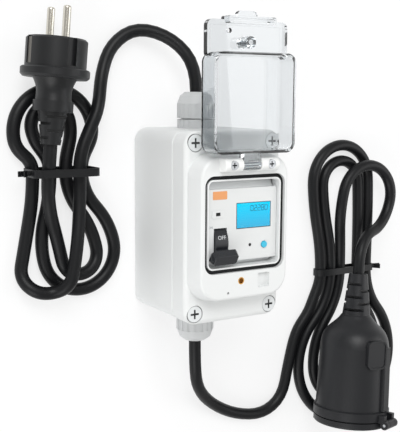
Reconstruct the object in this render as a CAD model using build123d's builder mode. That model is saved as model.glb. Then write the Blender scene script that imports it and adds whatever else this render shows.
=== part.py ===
"""Plug-in energy meter: a splash-proof box with a meter and breaker inside, a plug lead and a coupler lead.

The box lies on its back. X runs across the box, Y runs from the coupler lead to the plug lead,
Z is the normal of the front, and the origin is the middle of the box's back face. Millimetres.
The clear lid is modelled open, swung right over, and every other moving piece is at rest.
"""
import os
from math import cos, pi, radians, sin, tan

from build123d import *

os.makedirs("parts", exist_ok=True)

# Clearances
touch = 0.02  # pieces that seat on each other
fit = 0.1  # pieces that locate in each other
run = 0.3  # pieces that move past each other

# Enclosure
box_width = 71.0
box_height = 121.0
back_depth = 53.0
cover_depth = 16.4
wall = 3.0
corner_radius = 9.0
back_edge_radius = 3.0
cover_edge_radius = 3.6
seam_edge = 0.5
cover_face_z = back_depth + cover_depth
gasket_width = 1.2
gasket_depth = 1.5

# Cover screws in the four corners
screw_inset = 7.2
screw_head_diameter = 10.6
screw_head_height = 1.9
screw_shank_diameter = 4.0
screw_length = 34.0
screw_post_radius = 5.0
screw_x = box_width / 2 - screw_inset
screw_y = box_height / 2 - screw_inset
screw_spots = GridLocations(2 * screw_x, 2 * screw_y, 2, 2)

# Window opening, cut round the meter's face
meter_width = 51.6
meter_y = 2.8
meter_face_height = 45.0
window_gap = 0.4
window_margin = 4.2
window_rise = 1.0
opening_width = meter_width + 2 * window_gap
opening_height = meter_face_height + 2 * window_margin
opening_radius = 3.0
opening_y = meter_y + window_rise
opening_low_y = opening_y - opening_height / 2

# Raised frame round the window with its two bands, drafted like the rest of the moulding
hinge_band = 16.7
latch_band = 22.3
frame_width = 68.0
frame_height = hinge_band + opening_height + latch_band
frame_rise = 13.2
frame_draft = 9.0
frame_corner_radius = 15.0
frame_edge_radius = 2.0
frame_plate = 5.4
frame_y = opening_y + (hinge_band - latch_band) / 2
frame_face_z = cover_face_z + frame_rise

# Lip of the opening and the seal in the groove round it
lip_width = 1.0
lip_drop = 1.2
skirt_wall = 1.2
skirt_end_z = 73.6
groove_width = 2.4
groove_depth = 3.4
seal_height = 1.4
groove_floor_z = frame_face_z - groove_depth
groove_inner_width = opening_width + 2 * lip_width
groove_inner_height = opening_height + 2 * lip_width
groove_outer_width = groove_inner_width + 2 * groove_width
groove_outer_height = groove_inner_height + 2 * groove_width

# Lid hinge
lid_swing_gap = 0.1
hinge_setback = (hinge_band - lip_width - groove_width - lid_swing_gap) / 2
hinge_y = frame_y + frame_height / 2 - hinge_setback
hinge_above_face = 3.7
hinge_z = frame_face_z + hinge_above_face
lug_inner_x = 6.5
lug_width = 13.2
lug_radius = 4.2
knuckle_radius = 3.4
pin_diameter = 2.5
pin_length = 19.0
lug_screw_x = lug_inner_x + 7.2
lug_screw_head = 5.6
lug_screw_shank = 2.9

# Clear lid
lid_wall = 2.0
lid_rim_clearance = 0.3
lid_top_above_face = 14.4
lid_edge_radius = 2.5
flange_width = 58.0
flange_length = 19.0
flange_thickness = 2.5
flange_drop = 3.0
flange_lip = 4.0
latch_width = 34.0
latch_depth = 2.2
latch_height = 9.0
tab_width = 14.5
tab_length = 3.6
tab_thickness = 3.0

# Lid lock screw, its post and the threaded insert in the frame
lock_x = -3.0
lock_drop = 9.1
lock_y = opening_low_y - lock_drop
post_radius = 3.6
lock_shank_diameter = 3.0
lock_head_diameter = 6.6
lock_head_height = 2.2
insert_diameter = 4.6
insert_length = 4.0
insert_bore = 3.4
seal_hole_x = -12.5
seal_hole_drop = 16.1
seal_hole_y = opening_low_y - seal_hole_drop
seal_hole_diameter = 3.0
frame_eye_diameter = 1.6
latch_recess_width = 8.7
latch_recess_height = 9.3
latch_recess_depth = 2.6
latch_recess_x = 14.2
latch_recess_drop = 10.1
latch_recess_y = opening_low_y - latch_recess_drop

# Rail and meter
rail_height = 7.5
rail_width = 35.0
rail_length = 50.0
rail_thickness = 1.0
rail_channel = 25.0
rail_boss_height = 2.1
rail_screw_x = 17.0
rail_screw_diameter = 3.6
rail_screw_head = 6.8
rail_screw_head_height = 2.2
rail_screw_tip_gap = 0.2
rail_boss_radius = 5.0
meter_shoulder_height = 55.0
meter_full_height = 80.0
meter_foot_height = 62.0
meter_face_z = 78.6
face_plate_thickness = 1.2
rail_face_z = wall + rail_boss_height + rail_height
shoulder_z = 72.0
terminal_deck_z = 58.0
terminal_floor_z = 35.0
terminal_x = 17.2
terminal_z = 45.0
terminal_hole_diameter = 6.0
terminal_screw_diameter = 5.0
terminal_screw_height = 3.0

# Display, buttons and toggle on the meter's face
lcd_width = 25.2
lcd_height = 15.4
lcd_x = 8.6
lcd_y = 8.1
lens_thickness = 1.0
panel_thickness = 1.6
button_x = 16.7
button_y = -11.2
button_diameter = 4.2
button_length = 4.5
button_proud = 0.9
button_travel = 0.6
lamp_x = 6.0
lamp_y = -10.6
lamp_diameter = 2.0
flag_x = -17.9
flag_y = 10.1
flag_width = 8.8
flag_height = 4.9
badge_x = -16.6
badge_y = 21.6
badge_width = 10.2
badge_height = 5.0
badge_thickness = 0.25
toggle_inset = 9.8
toggle_x = toggle_inset - meter_width / 2
toggle_y = -8.0
toggle_z = 69.0
toggle_width = 8.8
toggle_radius = 12.0
toggle_bar_width = 18.6
toggle_bar_height = 9.0
toggle_bar_bottom = 14.6
toggle_bar_top = 19.4
toggle_bar_chamfer = 1.8
toggle_bar_edge = 0.5
toggle_stem_depth = 5.6
toggle_off_angle = 30.0
slot_clearance = 0.4
slot_half = 9.4

# Cable glands
gland_z = 22.5
gland_thread_diameter = 19.6
gland_bore = 11.6
gland_collar_diameter = 25.0
gland_collar_length = 5.6
gland_inside_length = 9.0
gland_nut_diameter = 25.4
gland_nut_length = 17.2
gland_nut_tip = 15.0
gland_gap = 0.8
gland_rib_count = 18
locknut_diameter = 24.0
locknut_length = 4.5

# Cords
cord_diameter = 8.4
cord_radius = cord_diameter / 2
core_diameter = 2.6
core_count_spread = 1.7
layer_step = 8.9
sheath_end_y = 50.2

# Plug, lying on its sealing collar
plug_x = -97.0
plug_y = 115.5
plug_axis_z = 21.2
plug_turn = 5.0
plug_roll = -8.0
plug_face_diameter = 37.2
plug_face_length = 18.0
collar_diameter = 42.0
collar_length = 6.0
grip_root_diameter = 27.0
grip_waist_diameter = 21.4
grip_diameter = 22.2
grip_length = 13.5
band_diameter = 24.6
band_length = 6.5
relief_length = 20.0
relief_root_diameter = 18.0
relief_tip_diameter = 12.0
prong_diameter = 4.8
prong_length = 19.0
prong_spacing = 19.0
prong_root = 12.0
prong_root_diameter = 4.0
prong_tip_radius = 1.4

# Coupler, lying on the lower loops of its hank
coupler_x = 130.6
coupler_y = -159.0
coupler_axis_z = 37.5
coupler_turn = 5.0
coupler_tilt = 3.5
coupler_roll = 70.0
coupler_diameter = 54.0
coupler_shoulder = 60.0
coupler_neck = 76.0
coupler_length = 108.0
neck_diameter = 21.0
neck_tip_diameter = 14.0
well_diameter = 39.4
well_depth = 18.0
insert_block = 14.0
mouth_ring_length = 7.0
mouth_ring_diameter = 57.0
contact_bore = 5.2
contact_wall = 0.7
flap_thickness = 5.0
flap_hinge_x = 32.0


# Back box
inner_width = box_width - 2 * wall
inner_height = box_height - 2 * wall
inner_radius = corner_radius - wall
rail_boss_height_z = wall + rail_boss_height

with BuildPart() as back_box:
    with BuildSketch(Plane.XY):
        RectangleRounded(box_width, box_height, corner_radius)
    extrude(amount=back_depth)
    fillet(back_box.edges().group_by(Axis.Z)[0], back_edge_radius)
    chamfer(back_box.edges().group_by(Axis.Z)[-1], seam_edge)
    with BuildSketch(Plane.XY.offset(wall)):
        RectangleRounded(inner_width, inner_height, inner_radius)
    extrude(amount=back_depth, mode=Mode.SUBTRACT)
    with BuildSketch(Plane.XY.offset(wall)):
        with screw_spots:
            Circle(screw_post_radius)
    extrude(amount=back_depth - wall)
    with BuildSketch(Plane.XY.offset(wall)):
        with GridLocations(2 * rail_screw_x, 0, 2, 1):
            with Locations((0, meter_y)):
                Circle(rail_boss_radius)
    extrude(amount=rail_boss_height)
    with BuildSketch(Plane.XY.offset(back_depth)):
        with screw_spots:
            Circle(screw_shank_diameter / 2)
    extrude(amount=-(screw_length - cover_depth + 3.0), mode=Mode.SUBTRACT)
    with BuildSketch(Plane.XY.offset(rail_boss_height_z)):
        with GridLocations(2 * rail_screw_x, 0, 2, 1):
            with Locations((0, meter_y)):
                Circle(rail_screw_diameter / 2)
    extrude(amount=-(rail_boss_height + wall / 2), mode=Mode.SUBTRACT)
    with BuildSketch(Plane.XZ.offset(-box_height)):
        with Locations((0, gland_z)):
            Circle(gland_thread_diameter / 2 + fit)
    extrude(amount=2 * box_height, mode=Mode.SUBTRACT)
back_box.part.label = "back_box"
export_step(back_box.part, "parts/back_box.step")

# Cover gasket, a flat ring in the cover's rim
gasket_line_width = box_width - wall
gasket_line_height = box_height - wall
gasket_line_radius = corner_radius - wall / 2

with BuildPart() as cover_gasket:
    with BuildSketch(Plane.XY.offset(back_depth)):
        RectangleRounded(
            gasket_line_width + gasket_width, gasket_line_height + gasket_width,
            gasket_line_radius + gasket_width / 2,
        )
        RectangleRounded(
            gasket_line_width - gasket_width, gasket_line_height - gasket_width,
            gasket_line_radius - gasket_width / 2, mode=Mode.SUBTRACT,
        )
    extrude(amount=gasket_depth)
cover_gasket.part.label = "cover_gasket"
export_step(cover_gasket.part, "parts/cover_gasket.step")

# Front cover with its raised frame, in one moulding
head_pocket_radius = screw_head_diameter / 2 + run
head_seat_z = cover_face_z - screw_head_height - run
slot_groove_width = gasket_width + 2 * fit

with BuildPart() as front_cover:
    with BuildSketch(Plane.XY.offset(back_depth)):
        RectangleRounded(box_width, box_height, corner_radius)
    extrude(amount=cover_depth)
    fillet(front_cover.edges().group_by(Axis.Z)[-1], cover_edge_radius)
    chamfer(front_cover.edges().group_by(Axis.Z)[0], seam_edge)
    with BuildSketch(Plane.XY.offset(cover_face_z)):
        with Locations((0, frame_y)):
            RectangleRounded(frame_width, frame_height, frame_corner_radius)
    extrude(amount=frame_rise, taper=frame_draft)
    fillet(front_cover.edges().group_by(Axis.Z)[-1], frame_edge_radius)
    with BuildSketch(Plane.XY.offset(back_depth)):
        RectangleRounded(inner_width, inner_height, inner_radius)
    extrude(amount=cover_depth - wall, mode=Mode.SUBTRACT)
    with BuildSketch(Plane.XY.offset(cover_face_z - wall)):
        with Locations((0, frame_y)):
            RectangleRounded(frame_width - 2 * wall, frame_height - 2 * wall, frame_corner_radius - wall)
    extrude(amount=wall + frame_rise - frame_plate, taper=frame_draft, mode=Mode.SUBTRACT)
    with BuildSketch(Plane.XY.offset(back_depth)):
        with screw_spots:
            Circle(screw_post_radius)
    extrude(amount=cover_depth - wall)
    with BuildSketch(Plane.XY.offset(back_depth)):
        with screw_spots:
            Circle(screw_shank_diameter / 2 + run)
    extrude(amount=cover_depth, mode=Mode.SUBTRACT)
    with BuildSketch(Plane.XY.offset(head_seat_z)):
        with screw_spots:
            Circle(head_pocket_radius)
    extrude(amount=frame_rise, mode=Mode.SUBTRACT)
    with BuildSketch(Plane.XY.offset(back_depth)):
        RectangleRounded(
            gasket_line_width + slot_groove_width, gasket_line_height + slot_groove_width,
            gasket_line_radius + slot_groove_width / 2,
        )
        RectangleRounded(
            gasket_line_width - slot_groove_width, gasket_line_height - slot_groove_width,
            gasket_line_radius - slot_groove_width / 2, mode=Mode.SUBTRACT,
        )
    extrude(amount=gasket_depth, mode=Mode.SUBTRACT)
    with BuildSketch(Plane.XY.offset(skirt_end_z)):
        with Locations((0, opening_y)):
            RectangleRounded(
                opening_width + 2 * skirt_wall, opening_height + 2 * skirt_wall, opening_radius + skirt_wall
            )
    extrude(amount=frame_face_z - frame_plate / 2 - skirt_end_z)
    with BuildSketch(Plane.XY.offset(groove_floor_z)):
        with Locations((0, opening_y)):
            RectangleRounded(groove_outer_width, groove_outer_height, opening_radius + lip_width + groove_width)
            RectangleRounded(
                groove_inner_width, groove_inner_height, opening_radius + lip_width, mode=Mode.SUBTRACT
            )
    extrude(amount=groove_depth, mode=Mode.SUBTRACT)
    with BuildSketch(Plane.XY.offset(frame_face_z - lip_drop)):
        with Locations((0, opening_y)):
            RectangleRounded(groove_inner_width + fit, groove_inner_height + fit, opening_radius + lip_width)
    extrude(amount=lip_drop, mode=Mode.SUBTRACT)
    with BuildSketch(Plane.XY.offset(cover_face_z)):
        with Locations((0, opening_y)):
            RectangleRounded(opening_width, opening_height, opening_radius)
    extrude(amount=frame_rise, mode=Mode.SUBTRACT)
    with BuildSketch(Plane.XY.offset(frame_face_z)):
        with Locations((lock_x, lock_y)):
            Circle(insert_diameter / 2)
    extrude(amount=-insert_length, mode=Mode.SUBTRACT)
    with BuildSketch(Plane.XY.offset(frame_face_z)):
        with Locations((seal_hole_x, seal_hole_y)):
            Circle(frame_eye_diameter / 2)
        with Locations((latch_recess_x, latch_recess_y)):
            RectangleRounded(latch_recess_width, latch_recess_height, 1.0)
    extrude(amount=-latch_recess_depth, mode=Mode.SUBTRACT)
    with BuildSketch(Plane.XY.offset(frame_face_z)):
        with GridLocations(2 * lug_screw_x, 0, 2, 1):
            with Locations((0, hinge_y)):
                Circle(lug_screw_shank / 2)
    extrude(amount=-frame_plate + 1.0, mode=Mode.SUBTRACT)
front_cover.part.label = "front_cover"
export_step(front_cover.part, "parts/front_cover.step")

# Cover screws with cross recesses
with BuildPart() as cover_screws:
    with BuildSketch(Plane.XY.offset(head_seat_z)):
        with screw_spots:
            Circle(screw_head_diameter / 2)
    extrude(amount=screw_head_height)
    fillet(cover_screws.edges().group_by(Axis.Z)[-1], 0.6)
    with BuildSketch(Plane.XY.offset(head_seat_z)):
        with screw_spots:
            Circle(screw_shank_diameter / 2)
    extrude(amount=-screw_length)
    with BuildSketch(Plane.XY.offset(head_seat_z + screw_head_height)):
        with screw_spots:
            Rectangle(6.0, 1.3)
            Rectangle(1.3, 6.0)
    extrude(amount=-1.2, mode=Mode.SUBTRACT)
cover_screws.part.label = "cover_screws"
export_step(cover_screws.part, "parts/cover_screws.step")

# Window seal in its groove
with BuildPart() as window_seal:
    with BuildSketch(Plane.XY.offset(groove_floor_z)):
        with Locations((0, opening_y)):
            RectangleRounded(
                groove_outer_width - 2 * fit, groove_outer_height - 2 * fit, opening_radius + lip_width + groove_width
            )
            RectangleRounded(
                groove_inner_width + 2 * fit, groove_inner_height + 2 * fit, opening_radius + lip_width,
                mode=Mode.SUBTRACT,
            )
    extrude(amount=seal_height)
    fillet(window_seal.edges().group_by(Axis.Z)[-1], 0.4)
window_seal.part.label = "window_seal"
export_step(window_seal.part, "parts/window_seal.step")

# Threaded insert for the lid's lock screw
with BuildPart() as lock_insert:
    with BuildSketch(Plane.XY.offset(frame_face_z)):
        with Locations((lock_x, lock_y)):
            Circle(insert_diameter / 2)
            Circle(insert_bore / 2, mode=Mode.SUBTRACT)
    extrude(amount=-insert_length)
lock_insert.part.label = "lock_insert"
export_step(lock_insert.part, "parts/lock_insert.step")

# Hinge lugs, a pair that two screws hold on the frame
lug_centre_x = lug_inner_x + lug_width / 2

with BuildPart() as hinge_lugs:
    for side in (-1, 1):
        start_x = lug_inner_x if side > 0 else -lug_inner_x - lug_width
        with BuildSketch(Plane.YZ.offset(start_x)):
            with Locations((hinge_y, hinge_z)):
                Circle(lug_radius)
            with Locations((hinge_y, (frame_face_z + hinge_z) / 2)):
                Rectangle(2 * lug_radius, hinge_above_face)
            with Locations((hinge_y, frame_face_z - lug_radius)):
                Rectangle(2 * lug_radius + 1, 2 * lug_radius, mode=Mode.SUBTRACT)
        extrude(amount=lug_width)
    fillet(hinge_lugs.edges().filter_by(GeomType.CIRCLE), 1.0)
    with BuildSketch(Plane.YZ.offset(-pin_length / 2)):
        with Locations((hinge_y, hinge_z)):
            Circle(pin_diameter / 2 + touch)
    extrude(amount=pin_length, mode=Mode.SUBTRACT)
    with BuildSketch(Plane.XY.offset(hinge_z + lug_radius - 1.8)):
        with GridLocations(2 * lug_screw_x, 0, 2, 1):
            with Locations((0, hinge_y)):
                Circle(lug_screw_head / 2 + fit)
    extrude(amount=lug_radius, mode=Mode.SUBTRACT)
    with BuildSketch(Plane.XY.offset(frame_face_z)):
        with GridLocations(2 * lug_screw_x, 0, 2, 1):
            with Locations((0, hinge_y)):
                Circle(lug_screw_shank / 2 + fit)
    extrude(amount=2 * lug_radius, mode=Mode.SUBTRACT)
hinge_lugs.part.label = "hinge_lugs"
export_step(hinge_lugs.part, "parts/hinge_lugs.step")

with BuildPart() as hinge_screws:
    with BuildSketch(Plane.XY.offset(hinge_z + lug_radius - 1.8)):
        with GridLocations(2 * lug_screw_x, 0, 2, 1):
            with Locations((0, hinge_y)):
                Circle(lug_screw_head / 2)
    extrude(amount=1.4)
    with BuildSketch(Plane.XY.offset(frame_face_z - frame_plate + 1.2)):
        with GridLocations(2 * lug_screw_x, 0, 2, 1):
            with Locations((0, hinge_y)):
                Circle(lug_screw_shank / 2)
    extrude(amount=hinge_above_face + lug_radius + frame_plate - 3.0)
    with BuildSketch(Plane.XY.offset(hinge_z + lug_radius - 0.4)):
        with GridLocations(2 * lug_screw_x, 0, 2, 1):
            with Locations((0, hinge_y)):
                Rectangle(3.4, 0.8)
                Rectangle(0.8, 3.4)
    extrude(amount=-1.0, mode=Mode.SUBTRACT)
hinge_screws.part.label = "hinge_screws"
export_step(hinge_screws.part, "parts/hinge_screws.step")

with BuildPart() as hinge_pin:
    with BuildSketch(Plane.YZ.offset(-pin_length / 2 + fit)):
        with Locations((hinge_y, hinge_z)):
            Circle(pin_diameter / 2)
    extrude(amount=pin_length - 2 * fit)
hinge_pin.part.label = "hinge_pin"
export_step(hinge_pin.part, "parts/hinge_pin.step")

# Clear lid, drawn on the hinge axis as it lies when shut, on a plane that is turned right over
lid_plane = Plane(origin=(0, hinge_y, hinge_z), x_dir=(1, 0, 0), z_dir=(0, 0, -1))
lid_outer_width = groove_outer_width - 2 * fit
lid_outer_height = groove_outer_height - 2 * fit
lid_radius = opening_radius + lip_width + groove_width - fit
lid_centre_y = opening_y - hinge_y
lid_hinge_side = lid_centre_y + lid_outer_height / 2
lid_rim_z = groove_floor_z + seal_height + lid_rim_clearance - hinge_z
lid_top_z = lid_top_above_face - hinge_above_face
lid_near_y = lid_centre_y - lid_outer_height / 2
flange_end_y = lid_near_y - flange_length
flange_top_z = lid_top_z - flange_drop
flange_under_z = flange_top_z - flange_thickness
lock_local_y = lock_y - hinge_y
post_end_z = -hinge_above_face + lid_rim_clearance
lug_reach = lug_inner_x - run
arm_top_z = 3.3
arm_bottom_z = -2.6

with BuildPart() as window_lid:
    with BuildSketch(lid_plane.offset(lid_rim_z)):
        with Locations((0, lid_centre_y)):
            RectangleRounded(lid_outer_width, lid_outer_height, lid_radius)
    extrude(amount=lid_top_z - lid_rim_z)
    fillet(window_lid.edges().group_by(Axis.Z)[0], lid_edge_radius)
    with BuildSketch(lid_plane.offset(flange_under_z - flange_lip + flange_thickness)):
        with Locations((0, lid_near_y - flange_length / 2 + lid_wall)):
            RectangleRounded(flange_width, flange_length + 2 * lid_wall, 2 * lid_wall)
    extrude(amount=flange_lip)
    with BuildSketch(lid_plane.offset(flange_top_z - latch_height)):
        with Locations((0, flange_end_y)):
            RectangleRounded(latch_width, 2 * latch_depth, 1.5)
    extrude(amount=latch_height)
    with BuildSketch(lid_plane.offset(flange_top_z - tab_thickness)):
        with Locations((0, flange_end_y - latch_depth)):
            RectangleRounded(tab_width, 2 * tab_length, 3.0)
    extrude(amount=tab_thickness)
    with BuildSketch(lid_plane.offset(lid_rim_z)):
        with Locations((0, lid_centre_y)):
            RectangleRounded(lid_outer_width - 2 * lid_wall, lid_outer_height - 2 * lid_wall, lid_radius - lid_wall)
    extrude(amount=lid_top_z - lid_rim_z - lid_wall, mode=Mode.SUBTRACT)
    with BuildSketch(lid_plane.offset(flange_under_z - flange_lip)):
        with Locations((0, lid_near_y - flange_length / 2 + latch_depth / 2)):
            Rectangle(flange_width - 2 * lid_wall, flange_length - latch_depth - lid_wall)
    extrude(amount=flange_lip, mode=Mode.SUBTRACT)
    with BuildSketch(lid_plane.offset(flange_top_z - latch_height)):
        with Locations((0, flange_end_y)):
            Rectangle(latch_width - 2 * lid_wall, latch_depth)
    extrude(amount=latch_height - lid_wall, mode=Mode.SUBTRACT)
    with BuildSketch(lid_plane.offset(post_end_z)):
        with Locations((lock_x, lock_local_y)):
            Circle(post_radius)
    extrude(amount=flange_top_z - post_end_z)
    with BuildSketch(Plane.YZ.offset(-lug_reach)):
        with Locations((hinge_y, hinge_z)):
            Circle(knuckle_radius)
    extrude(amount=2 * lug_reach)
    with BuildSketch(lid_plane.offset(arm_bottom_z)):
        with Locations((0, (lid_hinge_side - lid_wall) / 2)):
            Rectangle(2 * lug_reach, lid_wall - lid_hinge_side)
    extrude(amount=arm_top_z - arm_bottom_z)
    with BuildSketch(lid_plane.offset(lid_rim_z)):
        with Locations((0, lid_centre_y)):
            RectangleRounded(lid_outer_width - 2 * lid_wall, lid_outer_height - 2 * lid_wall, lid_radius - lid_wall)
    extrude(amount=lid_top_z - lid_rim_z - lid_wall, mode=Mode.SUBTRACT)
    with BuildSketch(Plane.YZ.offset(-lug_reach)):
        with Locations((hinge_y, hinge_z)):
            Circle(pin_diameter / 2 + 2 * touch)
    extrude(amount=2 * lug_reach, mode=Mode.SUBTRACT)
    with BuildSketch(lid_plane.offset(post_end_z)):
        with Locations((lock_x, lock_local_y)):
            Circle(lock_shank_diameter / 2 + fit)
    extrude(amount=flange_top_z - post_end_z, mode=Mode.SUBTRACT)
    with BuildSketch(lid_plane.offset(flange_top_z)):
        with Locations((lock_x, lock_local_y)):
            Circle(lock_head_diameter / 2 + run)
    extrude(amount=-lock_head_height, mode=Mode.SUBTRACT)
    with BuildSketch(lid_plane.offset(flange_top_z - flange_lip)):
        with Locations((seal_hole_x, seal_hole_y - hinge_y)):
            Circle(seal_hole_diameter / 2)
    extrude(amount=2 * flange_lip, mode=Mode.SUBTRACT)
window_lid.part.label = "window_lid"
export_step(window_lid.part, "parts/window_lid.step")

# Lock screw, held in the lid's post
with BuildPart() as lock_screw:
    with BuildSketch(lid_plane.offset(flange_top_z - lock_head_height + touch)):
        with Locations((lock_x, lock_local_y)):
            Circle(lock_head_diameter / 2)
    extrude(amount=lock_head_height - touch - fit)
    with BuildSketch(lid_plane.offset(post_end_z)):
        with Locations((lock_x, lock_local_y)):
            Circle(lock_shank_diameter / 2)
    extrude(amount=flange_top_z - lock_head_height - post_end_z + fit)
    with BuildSketch(lid_plane.offset(flange_top_z - fit)):
        with Locations((lock_x, lock_local_y)):
            Rectangle(lock_head_diameter, 1.0)
    extrude(amount=-1.0, mode=Mode.SUBTRACT)
    with BuildSketch(lid_plane.offset(post_end_z)):
        with Locations((lock_x, lock_local_y)):
            Rectangle(lock_shank_diameter, 0.6)
    extrude(amount=0.6, mode=Mode.SUBTRACT)
lock_screw.part.label = "lock_screw"
export_step(lock_screw.part, "parts/lock_screw.step")

# Top-hat rail on two bosses, and its screws
rail_bottom_z = wall + rail_boss_height

with BuildPart() as din_rail:
    with BuildSketch(Plane.YZ.offset(-rail_length / 2)):
        with Locations((meter_y, rail_bottom_z + rail_thickness / 2)):
            Rectangle(rail_channel + 2 * rail_thickness, rail_thickness)
        for side in (-1, 1):
            with Locations((meter_y + side * (rail_channel + rail_thickness) / 2, rail_bottom_z + rail_height / 2)):
                Rectangle(rail_thickness, rail_height)
            with Locations(
                (meter_y + side * (rail_width + rail_channel) / 4, rail_bottom_z + rail_height - rail_thickness / 2)
            ):
                Rectangle((rail_width - rail_channel) / 2, rail_thickness)
    extrude(amount=rail_length)
    with BuildSketch(Plane.XY.offset(rail_bottom_z)):
        with GridLocations(2 * rail_screw_x, 0, 2, 1):
            with Locations((0, meter_y)):
                Circle(rail_screw_diameter / 2 + fit)
    extrude(amount=rail_thickness, mode=Mode.SUBTRACT)
din_rail.part.label = "din_rail"
export_step(din_rail.part, "parts/din_rail.step")

with BuildPart() as rail_screws:
    with BuildSketch(Plane.XY.offset(rail_bottom_z + rail_thickness)):
        with GridLocations(2 * rail_screw_x, 0, 2, 1):
            with Locations((0, meter_y)):
                Circle(rail_screw_head / 2)
    extrude(amount=rail_screw_head_height)
    with BuildSketch(Plane.XY.offset(rail_bottom_z + rail_thickness)):
        with GridLocations(2 * rail_screw_x, 0, 2, 1):
            with Locations((0, meter_y)):
                Circle(rail_screw_diameter / 2)
    extrude(amount=-(rail_thickness + rail_boss_height + wall / 2 - rail_screw_tip_gap))
rail_screws.part.label = "rail_screws"
export_step(rail_screws.part, "parts/rail_screws.step")

# Meter housing: one profile for the sides, with a foot that hooks on the rail
hook_reach = 3.4
hook_drop = 4.0
hook_grip = 2.2
plate_z = meter_face_z - face_plate_thickness
slot_bottom_y = toggle_y - slot_half
slot_top_y = toggle_y + slot_half
display_pocket = lens_thickness + panel_thickness

with BuildPart() as meter_housing:
    with BuildSketch(Plane.YZ.offset(-meter_width / 2)):
        with BuildLine():
            Polyline(
                (meter_y - meter_foot_height / 2, rail_face_z),
                (meter_y + meter_foot_height / 2, rail_face_z),
                (meter_y + meter_foot_height / 2, terminal_floor_z - 5),
                (meter_y + meter_full_height / 2, terminal_floor_z),
                (meter_y + meter_full_height / 2, terminal_deck_z),
                (meter_y + meter_shoulder_height / 2, terminal_deck_z + 3),
                (meter_y + meter_shoulder_height / 2, shoulder_z),
                (meter_y + meter_face_height / 2, shoulder_z + 2),
                (meter_y + meter_face_height / 2, plate_z),
                (meter_y - meter_face_height / 2, plate_z),
                (meter_y - meter_face_height / 2, shoulder_z + 2),
                (meter_y - meter_shoulder_height / 2, shoulder_z),
                (meter_y - meter_shoulder_height / 2, terminal_deck_z + 3),
                (meter_y - meter_full_height / 2, terminal_deck_z),
                (meter_y - meter_full_height / 2, terminal_floor_z),
                (meter_y - meter_foot_height / 2, terminal_floor_z - 5),
                close=True,
            )
        make_face()
        with Locations((meter_y + rail_width / 2 + hook_reach / 2 + fit, rail_face_z - hook_drop / 2)):
            Rectangle(hook_reach, hook_drop)
        with Locations(
            (meter_y + rail_width / 2 + fit, rail_face_z - rail_thickness - run - (hook_drop - rail_thickness - run) / 2)
        ):
            Rectangle(hook_grip, hook_drop - rail_thickness - run)
    extrude(amount=meter_width)
    with BuildSketch(Plane.XY.offset(terminal_deck_z + 3)):
        with GridLocations(terminal_x * 2, meter_full_height - 11, 2, 2):
            with Locations((0, meter_y)):
                Circle(terminal_hole_diameter / 2)
    extrude(amount=-12.0, mode=Mode.SUBTRACT)
    for side in (-1, 1):
        with BuildSketch(Plane.XZ.offset(-meter_y - side * meter_full_height / 2)):
            with Locations((-terminal_x, terminal_z), (terminal_x, terminal_z)):
                Circle(2.4)
        extrude(amount=side * 9.0, mode=Mode.SUBTRACT)
    with BuildSketch(Plane.XY.offset(plate_z)):
        with Locations((lcd_x, lcd_y)):
            Rectangle(lcd_width + 2 * fit, lcd_height + 2 * fit)
    extrude(amount=-(display_pocket - face_plate_thickness + touch), mode=Mode.SUBTRACT)
    with BuildSketch(Plane.XY.offset(plate_z)):
        with Locations((button_x, button_y)):
            Circle(button_diameter / 2 + 2 * fit)
    extrude(amount=-(button_length + button_travel - face_plate_thickness), mode=Mode.SUBTRACT)
    with BuildSketch(Plane.XY.offset(plate_z)):
        with Locations((toggle_x, toggle_y)):
            Rectangle(toggle_width + 2 * slot_clearance, slot_top_y - slot_bottom_y)
    extrude(amount=-(plate_z - toggle_z), mode=Mode.SUBTRACT)
    with BuildSketch(Plane.YZ.offset(toggle_x - toggle_width / 2 - slot_clearance)):
        with Locations((toggle_y, toggle_z)):
            Circle(toggle_radius + slot_clearance)
    extrude(amount=toggle_width + 2 * slot_clearance, mode=Mode.SUBTRACT)
meter_housing.part.label = "meter_housing"
export_step(meter_housing.part, "parts/meter_housing.step")

# Face plate with the windows for the display, the lamp, the button, the flag and the toggle
with BuildPart() as face_plate:
    with BuildSketch(Plane.XY.offset(plate_z)):
        with Locations((0, meter_y)):
            RectangleRounded(meter_width, meter_face_height, 0.8)
        with Locations((lcd_x, lcd_y)):
            Rectangle(lcd_width + 2 * fit, lcd_height + 2 * fit, mode=Mode.SUBTRACT)
        with Locations((button_x, button_y)):
            Circle(button_diameter / 2 + 2 * fit, mode=Mode.SUBTRACT)
        with Locations((lamp_x, lamp_y)):
            Circle(lamp_diameter / 2 + touch, mode=Mode.SUBTRACT)
        with Locations((toggle_x, toggle_y)):
            Rectangle(toggle_width + 2 * slot_clearance, slot_top_y - slot_bottom_y, mode=Mode.SUBTRACT)
        with Locations((flag_x, flag_y)):
            Rectangle(3.4, 2.2, mode=Mode.SUBTRACT)
    extrude(amount=face_plate_thickness)
    with BuildSketch(Plane.XY.offset(meter_face_z)):
        with Locations((flag_x, flag_y)):
            RectangleRounded(flag_width, flag_height, 0.6)
            Rectangle(3.4, 2.2, mode=Mode.SUBTRACT)
    extrude(amount=0.4)
face_plate.part.label = "face_plate"
export_step(face_plate.part, "parts/face_plate.step")

with BuildPart() as flag_window:
    with BuildSketch(Plane.XY.offset(plate_z)):
        with Locations((flag_x, flag_y)):
            Rectangle(3.4 - 2 * touch, 2.2 - 2 * touch)
    extrude(amount=face_plate_thickness - 0.2)
flag_window.part.label = "flag_window"
export_step(flag_window.part, "parts/flag_window.step")

with BuildPart() as badge:
    with BuildSketch(Plane.XY.offset(meter_face_z)):
        with Locations((badge_x, badge_y)):
            RectangleRounded(badge_width, badge_height, 0.5)
    extrude(amount=badge_thickness)
badge.part.label = "badge"
export_step(badge.part, "parts/badge.step")

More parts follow.
